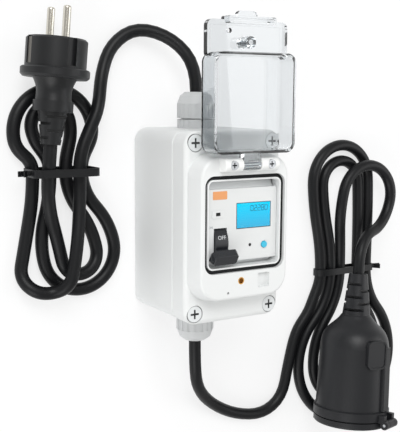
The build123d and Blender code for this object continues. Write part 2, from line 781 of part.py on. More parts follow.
with BuildPart() as status_lamp:
    with BuildSketch(Plane.XY.offset(plate_z)):
        with Locations((lamp_x, lamp_y)):
            Circle(lamp_diameter / 2)
    extrude(amount=face_plate_thickness + 0.3)
    fillet(status_lamp.edges().group_by(Axis.Z)[-1], 0.25)
status_lamp.part.label = "status_lamp"
export_step(status_lamp.part, "parts/status_lamp.step")

# Display: a lit panel under a clear lens
with BuildPart() as display_panel:
    with BuildSketch(Plane.XY.offset(meter_face_z - display_pocket)):
        with Locations((lcd_x, lcd_y)):
            Rectangle(lcd_width, lcd_height)
    extrude(amount=panel_thickness)
display_panel.part.label = "display_panel"
export_step(display_panel.part, "parts/display_panel.step")

with BuildPart() as display_lens:
    with BuildSketch(Plane.XY.offset(meter_face_z - lens_thickness)):
        with Locations((lcd_x, lcd_y)):
            RectangleRounded(lcd_width, lcd_height, 0.5)
    extrude(amount=lens_thickness)
display_lens.part.label = "display_lens"
export_step(display_lens.part, "parts/display_lens.step")

# Test button
with BuildPart() as test_button:
    with BuildSketch(Plane.XY.offset(meter_face_z - button_length + button_proud)):
        with Locations((button_x, button_y)):
            Circle(button_diameter / 2)
    extrude(amount=button_length)
    fillet(test_button.edges().group_by(Axis.Z)[-1], 0.4)
test_button.part.label = "test_button"
export_step(test_button.part, "parts/test_button.step")

# Breaker toggle: a drum on its pin, with a wide grip bar, at rest in the off place
toggle_plane = Plane(
    origin=(toggle_x, toggle_y, toggle_z),
    x_dir=(1, 0, 0),
    z_dir=(0, -sin(radians(toggle_off_angle)), cos(radians(toggle_off_angle))),
)
toggle_pin_diameter = 2.4

with BuildPart() as toggle_lever:
    with BuildSketch(Plane.YZ.offset(toggle_x - toggle_width / 2)):
        with Locations((toggle_y, toggle_z)):
            Circle(toggle_radius)
    extrude(amount=toggle_width)
    with BuildSketch(toggle_plane.offset(toggle_radius / 2)):
        Rectangle(toggle_width, toggle_stem_depth)
    extrude(amount=toggle_bar_bottom - toggle_radius / 2 + 1)
    with BuildSketch(toggle_plane.offset(toggle_bar_bottom)) as bar_sketch:
        Rectangle(toggle_bar_width, toggle_bar_height)
        chamfer(bar_sketch.vertices(), toggle_bar_chamfer)
    extrude(amount=toggle_bar_top - toggle_bar_bottom, taper=12)
    bar_top = toggle_lever.faces().sort_by(Axis(toggle_plane.origin, toggle_plane.z_dir))[-1]
    fillet(bar_top.edges(), toggle_bar_edge)
    with BuildSketch(Plane.YZ.offset(toggle_x - toggle_width / 2)):
        with Locations((toggle_y, toggle_z)):
            Circle(toggle_pin_diameter / 2 + 2 * touch)
    extrude(amount=toggle_width, mode=Mode.SUBTRACT)
toggle_lever.part.label = "toggle_lever"
export_step(toggle_lever.part, "parts/toggle_lever.step")

with BuildPart() as toggle_pin:
    with BuildSketch(Plane.YZ.offset(toggle_x - toggle_width / 2 - slot_clearance)):
        with Locations((toggle_y, toggle_z)):
            Circle(toggle_pin_diameter / 2)
    extrude(amount=toggle_width + 2 * slot_clearance)
toggle_pin.part.label = "toggle_pin"
export_step(toggle_pin.part, "parts/toggle_pin.step")

# Terminal screws under the deck of the meter
with BuildPart() as terminal_screws:
    with BuildSketch(Plane.XY.offset(terminal_deck_z - 9 + touch)):
        with GridLocations(terminal_x * 2, meter_full_height - 11, 2, 2):
            with Locations((0, meter_y)):
                Circle(terminal_screw_diameter / 2)
    extrude(amount=terminal_screw_height)
    with BuildSketch(Plane.XY.offset(terminal_deck_z - 9 + terminal_screw_height)):
        with GridLocations(terminal_x * 2, meter_full_height - 11, 2, 2):
            with Locations((0, meter_y)):
                Rectangle(terminal_screw_diameter, 0.9)
    extrude(amount=-0.9, mode=Mode.SUBTRACT)
terminal_screws.part.label = "terminal_screws"
export_step(terminal_screws.part, "parts/terminal_screws.step")

# Clip that slides under the rail's other flange
clip_width = 12.0
clip_length = 16.0
clip_y = meter_y - rail_width / 2 - fit
clip_drop = hook_drop

with BuildPart() as rail_clip:
    with BuildSketch(Plane.YZ.offset(-clip_width / 2)):
        with Locations((clip_y - clip_length / 2, rail_face_z - clip_drop / 2 - run / 2)):
            Rectangle(clip_length, clip_drop - run)
        with Locations(
            (clip_y, rail_face_z - rail_thickness - run - (clip_drop - rail_thickness - run) / 2)
        ):
            Rectangle(hook_grip, clip_drop - rail_thickness - run)
    extrude(amount=clip_width)
rail_clip.part.label = "rail_clip"
export_step(rail_clip.part, "parts/rail_clip.step")

# Cable glands in the two ends of the box
gland_face_y = box_height / 2
collar_end_y = gland_face_y + gland_collar_length
nut_start_y = collar_end_y + gland_gap
nut_end_y = nut_start_y + gland_nut_length
thread_end_y = gland_face_y - gland_inside_length
cord_start_y = nut_end_y


def gland_plane(end, distance):
    """A plane square to the gland, looking out of the box: end is 1 for the plug lead, -1 for the coupler lead."""
    return Plane(origin=(0, end * distance, gland_z), x_dir=(1, 0, 0), z_dir=(0, end, 0))


gland_ends = {"plug": 1, "coupler": -1}

for lead, end in gland_ends.items():
    with BuildPart() as gland_body:
        with BuildSketch(gland_plane(end, gland_face_y)):
            Circle(gland_collar_diameter / 2)
        extrude(amount=gland_collar_length)
        with BuildSketch(gland_plane(end, gland_face_y)):
            with PolarLocations(gland_collar_diameter / 2, gland_rib_count):
                Rectangle(0.9, 1.6)
        extrude(amount=gland_collar_length, mode=Mode.SUBTRACT)
        with BuildSketch(gland_plane(end, thread_end_y)):
            Circle(gland_thread_diameter / 2)
        extrude(amount=nut_start_y - thread_end_y + gland_nut_length * 0.4)
        with BuildSketch(gland_plane(end, thread_end_y)):
            Circle(gland_bore / 2)
        extrude(amount=nut_end_y - thread_end_y, mode=Mode.SUBTRACT)
    gland_body.part.label = lead + "_gland_body"
    export_step(gland_body.part, "parts/" + lead + "_gland_body.step")

    with BuildPart() as gland_nut:
        with BuildSketch(gland_plane(end, nut_start_y)):
            Circle(gland_nut_diameter / 2)
        extrude(amount=gland_nut_length * 0.55)
        with BuildSketch(gland_plane(end, nut_start_y + gland_nut_length * 0.55)):
            Circle(gland_nut_diameter / 2)
        with BuildSketch(gland_plane(end, nut_start_y + gland_nut_length * 0.86)):
            Circle(gland_nut_diameter / 2 * 0.84)
        loft()
        with BuildSketch(gland_plane(end, nut_start_y + gland_nut_length * 0.86)):
            Circle(gland_nut_diameter / 2 * 0.84)
        with BuildSketch(gland_plane(end, nut_end_y)):
            Circle(gland_nut_tip / 2)
        loft()
        with BuildSketch(gland_plane(end, nut_start_y)):
            with PolarLocations(gland_nut_diameter / 2, gland_rib_count):
                Rectangle(0.7, 1.5)
        extrude(amount=gland_nut_length * 0.55, mode=Mode.SUBTRACT)
        with BuildSketch(gland_plane(end, nut_start_y)):
            Circle(gland_thread_diameter / 2 + fit)
        extrude(amount=gland_nut_length * 0.62, mode=Mode.SUBTRACT)
        with BuildSketch(gland_plane(end, nut_start_y)):
            Circle(cord_radius + 2 * fit)
        extrude(amount=gland_nut_length, mode=Mode.SUBTRACT)
    gland_nut.part.label = lead + "_gland_nut"
    export_step(gland_nut.part, "parts/" + lead + "_gland_nut.step")

    with BuildPart() as gland_seal:
        with BuildSketch(gland_plane(end, nut_start_y)):
            Circle(gland_bore / 2 - fit)
            Circle(cord_radius + fit, mode=Mode.SUBTRACT)
        extrude(amount=gland_nut_length * 0.4)
    gland_seal.part.label = lead + "_gland_seal"
    export_step(gland_seal.part, "parts/" + lead + "_gland_seal.step")

    with BuildPart() as gland_locknut:
        with BuildSketch(gland_plane(end, gland_face_y - wall)):
            RegularPolygon(locknut_diameter / 2, 6)
            Circle(gland_thread_diameter / 2 + fit, mode=Mode.SUBTRACT)
        extrude(amount=-locknut_length)
    gland_locknut.part.label = lead + "_gland_locknut"
    export_step(gland_locknut.part, "parts/" + lead + "_gland_locknut.step")

    with BuildPart() as sheath_end:
        with BuildSketch(gland_plane(end, sheath_end_y)):
            Circle(cord_radius)
        extrude(amount=cord_start_y - sheath_end_y)
    sheath_end.part.label = lead + "_sheath_end"
    export_step(sheath_end.part, "parts/" + lead + "_sheath_end.step")

# Wires from the sheaths to the meter's terminals, and the earth wire that passes beside the meter
core_z = gland_z + 1.0
earth_z = gland_z - 1.9
wire_bend = 2.8
entry_y = meter_full_height / 2


def wire(points, radii):
    """Sweep a core along straight runs that are joined by tangent arcs."""
    with BuildPart() as core:
        with BuildLine() as line:
            FilletPolyline(*points, radius=radii)
        with BuildSketch(Plane(origin=line.line @ 0, z_dir=line.line % 0)):
            Circle(core_diameter / 2)
        sweep(path=line.line)
    return core.part


for colour, side in (("brown", -1), ("blue", 1)):
    cores = []
    for end in (1, -1):
        terminal_y = meter_y + end * entry_y
        bend_y = end * (sheath_end_y - 3.6)
        cores.append(
            wire(
                [
                    (side * core_count_spread, end * sheath_end_y, core_z),
                    (side * core_count_spread, bend_y, core_z),
                    (side * terminal_x, bend_y, terminal_z),
                    (side * terminal_x, terminal_y - end * 3.0, terminal_z),
                ],
                [wire_bend, wire_bend],
            )
        )
    pair = Compound(children=cores)
    pair.label = colour + "_wires"
    export_step(pair, "parts/" + colour + "_wires.step")

earth_x = inner_width / 2 - core_diameter / 2 - 2.0
earth_side_z = 10.0
earth_bend_y = sheath_end_y - 3.8
earth_wire = wire(
    [
        (0, sheath_end_y, earth_z),
        (0, earth_bend_y, earth_z),
        (earth_x, earth_bend_y, earth_side_z),
        (earth_x, -earth_bend_y, earth_side_z),
        (0, -earth_bend_y, earth_z),
        (0, -sheath_end_y, earth_z),
    ],
    [wire_bend, wire_bend, wire_bend, wire_bend],
)
earth_wire.label = "earth_wire"
export_step(earth_wire, "parts/earth_wire.step")

# Biarc routes: each pair of stations is joined by two arcs that share a tangent


def arc_joint(start, start_dir, end, end_dir):
    """The point where two arcs between the stations meet, and their common direction there."""
    gap = end - start
    total = start_dir + end_dir
    spread = 2 * (1 - start_dir.dot(end_dir))
    if spread < 1e-9:
        reach = gap.dot(gap) / (4 * gap.dot(start_dir))
    else:
        reach = (-gap.dot(total) + (gap.dot(total) ** 2 + spread * gap.dot(gap)) ** 0.5) / spread
    near = start + start_dir * reach
    far = end - end_dir * reach
    return (near + far) / 2, (far - near).normalized()


def arc_or_line(start, start_dir, end):
    """A tangent arc, or a line where the end lies straight ahead."""
    if start_dir.cross(end - start).length < 1e-6 * (end - start).length:
        Line(start, end)
    else:
        TangentArc(start, end, tangent=start_dir)


def tube(stations, diameter):
    """Sweep one unbroken tube along the stations."""
    with BuildPart() as swept:
        with BuildLine() as route:
            for (start, start_dir), (end, end_dir) in zip(stations, stations[1:]):
                middle, middle_dir = arc_joint(start, start_dir, end, end_dir)
                arc_or_line(start, start_dir, middle)
                arc_or_line(middle, middle_dir, end)
        with BuildSketch(Plane(origin=stations[0][0], z_dir=stations[0][1])):
            Circle(diameter / 2)
        sweep(path=route.line)
    return swept.part, route.wires()[0]


def level(layer):
    """Height of a cord's centre in a layer of the pile, the first layer lying on the floor."""
    return cord_radius + layer_step * (layer - 1)


def wind(centre, passes, loops, first, exit_side):
    """Stations of a figure-of-eight hank: a loop follows each pass over its waist."""
    cx, cy = centre
    stations = []
    for k, (x, layer) in enumerate(passes):
        way = first if k % 2 == 0 else -first
        stations.append((Vector(cx + x, cy, level(layer)), Vector(0, way, 0)))
        lean, half, reach, layer_in, layer_out = loops[k]
        turn = lean / reach
        side = exit_side
        if k + 1 < len(passes):
            side = 1 if passes[k + 1][0] > x else -1
        along = Vector(sin(turn), way * cos(turn), 0)
        across = Vector(cos(turn), -way * sin(turn), 0)
        root = Vector(cx, cy, 0)
        shaft = root + along * (reach - half)
        up_in = Vector(0, 0, level(layer_in))
        up_out = Vector(0, 0, level(layer_out))
        stations.append((shaft - across * (side * half) + up_in, along))
        stations.append((root + along * reach + (up_in + up_out) / 2, across * side))
        stations.append((shaft + across * (side * half) + up_out, along * -1))
    return stations


def least_gap(route, diameter):
    """The least gap that a tube leaves to itself, from points along its centre line."""
    points = []
    walked = 0.0
    for edge in route.edges():
        count = max(2, int(edge.length / 1.5))
        for k in range(count):
            spot = edge.position_at(k / count)
            points.append((spot.X, spot.Y, spot.Z, walked + edge.length * k / count))
        walked += edge.length
    least = 1e9
    for i, a in enumerate(points):
        for b in points[i + 1 :]:
            if b[3] - a[3] > 3 * diameter:
                least = min(least, (a[0] - b[0]) ** 2 + (a[1] - b[1]) ** 2 + (a[2] - b[2]) ** 2)
    return least**0.5 - diameter


def report_tube(name, part, route, diameter):
    section = pi * (diameter / 2) ** 2
    radii = [round(e.radius, 1) for e in route.edges() if e.geom_type == GeomType.CIRCLE]
    ratio = part.volume / (section * route.length)
    print(name, "length", round(route.length, 1), "least radius", min(radii), "volume ratio", round(ratio, 4))


# Plug lying on its collar
plug_dir = Vector(sin(radians(plug_turn)), cos(radians(plug_turn)), 0)
plug_side = Vector(cos(radians(plug_turn)), -sin(radians(plug_turn)), 0)
plug_across = plug_side * -cos(radians(plug_roll)) + Vector(0, 0, -sin(radians(plug_roll)))
plug_face = Plane(origin=(plug_x, plug_y, plug_axis_z), x_dir=plug_across, z_dir=plug_dir)
plug_profile = Plane(origin=plug_face.origin, x_dir=plug_across, z_dir=plug_face.y_dir * -1)
plug_length = plug_face_length + collar_length + grip_length + band_length + relief_length
collar_back = plug_face_length + collar_length
grip_back = collar_back + grip_length
band_back = grip_back + band_length
notch_width = 6.0
notch_depth = 2.6
strip_width = 5.0
strip_thickness = 0.8
strip_recess = 1.6
relief_slots = 4
slot_pitch = 4.3
slot_length = 1.7
relief_core = 8.6

with BuildPart() as plug_body:
    with BuildSketch(plug_profile):
        with BuildLine():
            Polyline(
                (0, 0),
                (plug_face_diameter / 2 - 1.2, 0),
                (plug_face_diameter / 2, -1.2),
                (plug_face_diameter / 2, -plug_face_length),
                (collar_diameter / 2 - 0.8, -plug_face_length),
                (collar_diameter / 2, -plug_face_length - 0.8),
                (collar_diameter / 2, -collar_back + 1.5),
                (collar_diameter / 2 - 1.5, -collar_back),
                (grip_root_diameter / 2, -collar_back),
            )
            Spline(
                (grip_root_diameter / 2, -collar_back),
                (grip_waist_diameter / 2, -collar_back - grip_length * 0.6),
                (grip_diameter / 2, -grip_back),
                tangents=((-0.6, -1), (0.1, -1)),
            )
            Polyline(
                (grip_diameter / 2, -grip_back),
                (band_diameter / 2, -grip_back),
                (band_diameter / 2, -band_back),
                (relief_root_diameter / 2, -band_back),
                (relief_tip_diameter / 2, -plug_length),
                (0, -plug_length),
                (0, 0),
            )
        make_face()
    revolve(axis=Axis(plug_face.origin, plug_face.z_dir))
    with BuildSketch(plug_face.offset(-plug_face_length + 1.5)):
        with Locations((0, plug_face_diameter / 2), (0, -plug_face_diameter / 2)):
            Rectangle(notch_width, 2 * notch_depth)
        with Locations((plug_face_diameter / 2, 0), (-plug_face_diameter / 2, 0)):
            Rectangle(2 * strip_recess, strip_width + 2 * fit)
    extrude(amount=plug_face_length, mode=Mode.SUBTRACT)
    with BuildSketch(plug_face.offset(-prong_root)):
        with Locations((0, prong_spacing / 2), (0, -prong_spacing / 2)):
            Circle(prong_root_diameter / 2 + touch)
    extrude(amount=prong_root, mode=Mode.SUBTRACT)
    for k in range(relief_slots):
        sides = (-1, 1)
        with BuildSketch(plug_face.offset(-band_back - 2.2 - k * slot_pitch)):
            for side in sides:
                middle = side * (relief_core / 2 + relief_root_diameter / 2)
                with Locations((middle, 0) if k % 2 else (0, middle)):
                    Rectangle(relief_root_diameter, relief_root_diameter)
        extrude(amount=-slot_length, mode=Mode.SUBTRACT)
plug_body.part.label = "plug_body"
export_step(plug_body.part, "parts/plug_body.step")

with BuildPart() as plug_pins:
    with BuildSketch(plug_face.offset(-prong_root + touch)):
        with Locations((0, prong_spacing / 2), (0, -prong_spacing / 2)):
            Circle(prong_root_diameter / 2)
    extrude(amount=prong_root)
    with BuildSketch(plug_face.offset(touch)):
        with Locations((0, prong_spacing / 2), (0, -prong_spacing / 2)):
            Circle(prong_diameter / 2)
    extrude(amount=prong_length - touch)
    tips = plug_pins.edges().filter_by(GeomType.CIRCLE).sort_by(Axis(plug_face.origin, plug_face.z_dir))[-2:]
    fillet(tips, prong_tip_radius)
plug_pins.part.label = "plug_pins"
export_step(plug_pins.part, "parts/plug_pins.step")

strip_mid = plug_face_diameter / 2 - strip_recess + strip_thickness / 2 + touch

with BuildPart() as plug_earth_strips:
    with BuildSketch(plug_face.offset(-plug_face_length + 1.5 + touch)):
        with Locations((strip_mid, 0), (-strip_mid, 0)):
            Rectangle(strip_thickness, strip_width)
    extrude(amount=plug_face_length - 2.7)
plug_earth_strips.part.label = "plug_earth_strips"
export_step(plug_earth_strips.part, "parts/plug_earth_strips.step")

# Coupler, its flap shut
tilt_in = radians(coupler_tilt)
turn_in = radians(coupler_turn)
roll_in = radians(coupler_roll)
coupler_dir = Vector(-sin(turn_in) * cos(tilt_in), -cos(turn_in) * cos(tilt_in), sin(tilt_in))
level_side = Vector(cos(turn_in), -sin(turn_in), 0)
upright = coupler_dir.cross(level_side)
coupler_side = level_side * cos(roll_in) + upright * sin(roll_in)
coupler_face = Plane(origin=(coupler_x, coupler_y, coupler_axis_z), x_dir=coupler_side, z_dir=coupler_dir)
coupler_profile = Plane(origin=coupler_face.origin, x_dir=coupler_side, z_dir=coupler_face.y_dir * -1)
insert_back = well_depth + insert_block
label_width = 17.0
label_length = 21.0
label_margin = 1.3
label_recess = 0.5
label_height = 27.9
label_middle = 50.5
label_turn = 24.0
label_corner = 4.5
rib_width = 10.0
hinge_s = 1.0
flap_radius = 28.0
flap_knuckle = 3.2
flap_knuckle_half = 4.0
flap_lug_half = 8.0
flap_pin_diameter = 2.2
flap_skirt_depth = 3.0
flap_lip_length = 6.0
flap_lip_width = 15.0
flap_lip_reach = 1.2
skirt_clearance = 0.8
socket_slots = 5
label_out = coupler_side * cos(radians(label_turn)) + coupler_face.y_dir * sin(radians(label_turn))
label_plane = Plane(
    origin=coupler_face.origin - coupler_dir * label_middle,
    x_dir=coupler_dir * -1,
    z_dir=label_out,
)

with BuildPart() as coupler_body:
    with BuildSketch(coupler_profile):
        with BuildLine():
            Polyline(
                (0, 0),
                (mouth_ring_diameter / 2 - 1, 0),
                (mouth_ring_diameter / 2, -1),
                (mouth_ring_diameter / 2, -mouth_ring_length),
                (coupler_diameter / 2, -mouth_ring_length - 1),
                (coupler_diameter / 2 - 1.2, -coupler_shoulder + 6),
            )
            Spline(
                (coupler_diameter / 2 - 1.2, -coupler_shoulder + 6),
                (coupler_diameter / 2 - 5.0, -coupler_shoulder - 5),
                (neck_diameter / 2 + 1.0, -coupler_neck),
                tangents=((-0.1, -1), (-0.6, -1)),
            )
            Polyline(
                (neck_diameter / 2 + 1.0, -coupler_neck),
                (neck_diameter / 2, -coupler_neck - 1),
                (neck_tip_diameter / 2, -coupler_length),
                (0, -coupler_length),
                (0, 0),
            )
        make_face()
    revolve(axis=Axis(coupler_face.origin, coupler_face.z_dir))
    with BuildSketch(coupler_face.offset(-mouth_ring_length - 1)):
        with Locations((coupler_diameter / 2 - 1.5, 0)):
            RectangleRounded(7.0, rib_width, 1.4)
    extrude(amount=-(coupler_shoulder - mouth_ring_length - 6), taper=1)
    with BuildSketch(coupler_face.offset(-6.0)):
        for side in (-1, 1):
            with Locations((flap_hinge_x - 3.0, side * (flap_lug_half + flap_knuckle_half + run) / 2)):
                Rectangle(6.0, flap_lug_half - flap_knuckle_half - run)
    extrude(amount=6.0)
    for side in (-1, 1):
        lug_start = flap_knuckle_half + run if side > 0 else -flap_lug_half
        lug_plane = Plane(origin=coupler_face.origin, x_dir=coupler_side, z_dir=coupler_face.y_dir)
        with BuildSketch(lug_plane.offset(lug_start)):
            with Locations((flap_hinge_x, -hinge_s)):
                Circle(flap_knuckle)
        extrude(amount=flap_lug_half - flap_knuckle_half - run)
    with BuildSketch(coupler_face.offset(-insert_back)):
        Circle(well_diameter / 2)
    extrude(amount=insert_back, mode=Mode.SUBTRACT)
    with BuildSketch(coupler_face.offset(-well_depth)):
        with Locations((0, well_diameter / 2), (0, -well_diameter / 2)):
            Rectangle(4.6, 2 * 2.2)
    extrude(amount=well_depth - flap_skirt_depth - 1)
    with BuildSketch(label_plane.offset(coupler_diameter / 2 - 5.0)):
        RectangleRounded(label_length, label_width, label_corner)
    extrude(amount=label_height - coupler_diameter / 2 + 5.0)
    with BuildSketch(label_plane.offset(label_height)):
        RectangleRounded(label_length - 2 * label_margin, label_width - 2 * label_margin, label_corner - label_margin)
    extrude(amount=-label_recess, mode=Mode.SUBTRACT)
    with BuildSketch(lug_plane.offset(-flap_lug_half)):
        with Locations((flap_hinge_x, -hinge_s)):
            Circle(flap_pin_diameter / 2 + touch)
    extrude(amount=2 * flap_lug_half, mode=Mode.SUBTRACT)
    for k in range(socket_slots):
        with BuildSketch(coupler_face.offset(-coupler_neck - 4.0 - k * 4.8)):
            for side in (-1, 1):
                middle = side * (relief_core / 2 + neck_diameter / 2 + 0.6)
                with Locations((middle, 0) if k % 2 else (0, middle)):
                    Rectangle(neck_diameter, neck_diameter)
        extrude(amount=-2.0, mode=Mode.SUBTRACT)
coupler_body.part.label = "coupler_body"
export_step(coupler_body.part, "parts/coupler_body.step")

with BuildPart() as coupler_insert:
    with BuildSketch(coupler_face.offset(-insert_back + touch)):
        Circle(well_diameter / 2 - touch)
    extrude(amount=insert_block - 2 * touch)
    with BuildSketch(coupler_face.offset(-insert_back + touch)):
        with Locations((0, prong_spacing / 2), (0, -prong_spacing / 2)):
            Circle(contact_bore / 2 + contact_wall + touch)
    extrude(amount=insert_block - 2.0, mode=Mode.SUBTRACT)
    with BuildSketch(coupler_face.offset(-insert_back + touch)):
        with Locations((0, prong_spacing / 2), (0, -prong_spacing / 2)):
            Circle(contact_bore / 2)
    extrude(amount=insert_block, mode=Mode.SUBTRACT)
coupler_insert.part.label = "coupler_insert"
export_step(coupler_insert.part, "parts/coupler_insert.step")

with BuildPart() as coupler_contacts:
    with BuildSketch(coupler_face.offset(-insert_back + 2 * touch)):
        with Locations((0, prong_spacing / 2), (0, -prong_spacing / 2)):
            Circle(contact_bore / 2 + contact_wall)
            Circle(contact_bore / 2, mode=Mode.SUBTRACT)
    extrude(amount=insert_block - 2.2)
coupler_contacts.part.label = "coupler_contacts"
export_step(coupler_contacts.part, "parts/coupler_contacts.step")

with BuildPart() as coupler_earth_clips:
    with BuildSketch(coupler_face.offset(-well_depth + touch)):
        with Locations((well_diameter / 2 - 1.4, 0), (-well_diameter / 2 + 1.4, 0)):
            Rectangle(strip_thickness, strip_width - 1)
    extrude(amount=well_depth - flap_skirt_depth - 1.5)
coupler_earth_clips.part.label = "coupler_earth_clips"
export_step(coupler_earth_clips.part, "parts/coupler_earth_clips.step")

with BuildPart() as coupler_flap:
    with BuildSketch(coupler_face.offset(run)):
        Circle(flap_radius)
    extrude(amount=flap_thickness)
    fillet(coupler_flap.edges().filter_by(GeomType.CIRCLE).sort_by(Axis(coupler_face.origin, coupler_dir))[-1], 1.6)
    with BuildSketch(coupler_face.offset(run)):
        Circle(well_diameter / 2 - skirt_clearance)
        Circle(well_diameter / 2 - skirt_clearance - 1.8, mode=Mode.SUBTRACT)
    extrude(amount=-flap_skirt_depth - run)
    with BuildSketch(coupler_face.offset(flap_thickness + run)):
        Circle(flap_radius - 5)
        Circle(flap_radius - 7, mode=Mode.SUBTRACT)
    extrude(amount=1.0)
    with BuildSketch(coupler_face.offset(1.5)):
        with Locations((-flap_radius + flap_lip_length / 2 - flap_lip_reach, 0)):
            RectangleRounded(flap_lip_length, flap_lip_width, 2.5)
    extrude(amount=flap_thickness + run + 2.2 - 1.5)
    with BuildSketch(coupler_face.offset(hinge_s)):
        with Locations((flap_hinge_x - 4.0, 0)):
            Rectangle(8.0, 2 * flap_knuckle_half)
    extrude(amount=flap_knuckle)
    with BuildSketch(lug_plane.offset(-flap_knuckle_half)):
        with Locations((flap_hinge_x, -hinge_s)):
            Circle(flap_knuckle)
    extrude(amount=2 * flap_knuckle_half)
    with BuildSketch(lug_plane.offset(-flap_knuckle_half)):
        with Locations((flap_hinge_x, -hinge_s)):
            Circle(flap_pin_diameter / 2 + 2 * touch)
    extrude(amount=2 * flap_knuckle_half, mode=Mode.SUBTRACT)
coupler_flap.part.label = "coupler_flap"
export_step(coupler_flap.part, "parts/coupler_flap.step")

with BuildPart() as flap_pin:
    with BuildSketch(lug_plane.offset(-flap_lug_half + fit)):
        with Locations((flap_hinge_x, -hinge_s)):
            Circle(flap_pin_diameter / 2)
    extrude(amount=2 * flap_lug_half - 2 * fit)
flap_pin.part.label = "flap_pin"
export_step(flap_pin.part, "parts/flap_pin.step")

# Plug lead's hank: it ends straight in the plug's strain relief
plug_tail = plug_face.origin - plug_dir * plug_length
plug_waist = (-90.0, 34.0)
plug_passes = [(9.5, 2.1), (-18.5, 1.12), (14.5, 1.12), (-7.0, 1.12), (3.5, 1.12)]
plug_loops = [
    (-15.5, 14.5, 78.0, 2.7, 1.0),
    (-7.5, 26.5, 51.5, 1.0, 1.0),
    (19.0, 25.0, 80.0, 1.0, 1.0),
    (-8.0, 13.0, 42.0, 1.0, 1.0),
    (14.5, 13.5, 69.0, 1.0, 1.6),
]
plug_entry = Vector(-72.8, 61.0, level(2.1))
plug_entry_dir = Vector(-0.42, -0.908, 0).normalized()
plug_exit = (Vector(plug_waist[0] - 13.5, plug_waist[1] - 6.0, level(2.6)), Vector(0.04, 0.999, 0).normalized())
plug_stations = [(plug_entry, plug_entry_dir), (plug_entry + plug_entry_dir * cord_diameter, plug_entry_dir)]
plug_stations += wind(plug_waist, plug_passes, plug_loops, -1, -1)
plug_stations += [plug_exit, (plug_tail - plug_dir * cord_diameter, plug_dir), (plug_tail, plug_dir)]
plug_hank, plug_route = tube(plug_stations, cord_diameter)
plug_hank.label = "plug_hank"
export_step(plug_hank, "parts/plug_hank.step")
report_tube("plug_hank", plug_hank, plug_route, cord_diameter)
print("plug_hank least gap", round(least_gap(plug_route, cord_diameter), 2))

# Coupler lead's hank: it ends straight in the coupler's strain relief
coupler_tail = coupler_face.origin - coupler_dir * coupler_length
coupler_waist = (147.3, -53.5)
coupler_passes = [(-23.5, 1.12), (23.0, 1.12), (-13.5, 1.12), (13.5, 1.12), (-4.0, 1.12)]
coupler_loops = [
    (-6.0, 27.5, 98.0, 1.0, 1.0),
    (8.0, 47.0, 120.0, 1.0, 1.0),
    (-6.0, 17.5, 86.0, 1.0, 1.0),
    (8.0, 33.0, 106.5, 1.0, 1.0),
    (20.0, 24.0, 84.0, 2.1, 2.2),
]
coupler_entry = Vector(117.0, -75.0, level(1.12))
coupler_entry_dir = Vector(sin(radians(25)), cos(radians(25)), 0)
coupler_stations = [
    (coupler_entry, coupler_entry_dir),
    (coupler_entry + coupler_entry_dir * cord_diameter, coupler_entry_dir),
]
coupler_stations += wind(coupler_waist, coupler_passes, coupler_loops, 1, 1)
coupler_stations += [(coupler_tail - coupler_dir * cord_diameter, coupler_dir), (coupler_tail, coupler_dir)]
coupler_hank, coupler_route = tube(coupler_stations, cord_diameter)
coupler_hank.label = "coupler_hank"
export_step(coupler_hank, "parts/coupler_hank.step")
report_tube("coupler_hank", coupler_hank, coupler_route, cord_diameter)
print("coupler_hank least gap", round(least_gap(coupler_route, cord_diameter), 2))

# Free leads from the glands to the hanks
lead_share = 0.45


def lead(points, name):
    """A tube of straight runs joined by tangent arcs, each radius set by the shorter run and the turn."""
    stops = [Vector(*p) for p in points]
    radii = []
    for before, here, after in zip(stops, stops[1:], stops[2:]):
        into = here - before
        out = after - here
        half_turn = into.get_angle(out) / 2
        radii.append(lead_share * min(into.length, out.length) / tan(radians(half_turn)))
    with BuildPart() as swept:
        with BuildLine() as route:
            FilletPolyline(*stops, radius=radii)
        with BuildSketch(Plane(origin=stops[0], z_dir=stops[1] - stops[0])):
            Circle(cord_radius)
        sweep(path=route.line)
    swept.part.label = name
    export_step(swept.part, "parts/" + name + ".step")
    report_tube(name, swept.part, route.wires()[0], cord_diameter)
    print(name, "radii", [round(r, 1) for r in radii])


floor_z = level(1.0)
lead(
    [
        (0, cord_start_y, gland_z),
        (0, cord_start_y + 16.9, gland_z),
        (-13.0, 119.0, 14.5),
        (-35.0, 126.0, 5.5),
        (-53.5, 114.0, floor_z),
        (-60.5, 95.0, floor_z),
        tuple(plug_entry - plug_entry_dir * 14.3),
        tuple(plug_entry),
    ],
    "plug_lead",
)
lead(
    [
        (0, -cord_start_y, gland_z),
        (0, -cord_start_y - 19.9, gland_z),
        (7.0, -124.0, 15.0),
        (24.0, -141.0, 6.5),
        (47.0, -154.0, floor_z),
        (72.0, -158.5, floor_z),
        (90.0, -148.0, floor_z),
        (95.0, -124.0, floor_z),
        (101.5, -98.0, floor_z),
        tuple(coupler_entry - coupler_entry_dir * 11.0),
        tuple(coupler_entry),
    ],
    "coupler_lead",
)

# Twist ties round the waists of the hanks
tie_width = 5.0
tie_thickness = 0.9
tie_slack = 0.25
tie_tail = 6.0
tie_knot_radius = 1.5
tie_knot_length = 3.0
tie_knot_height = 0.6


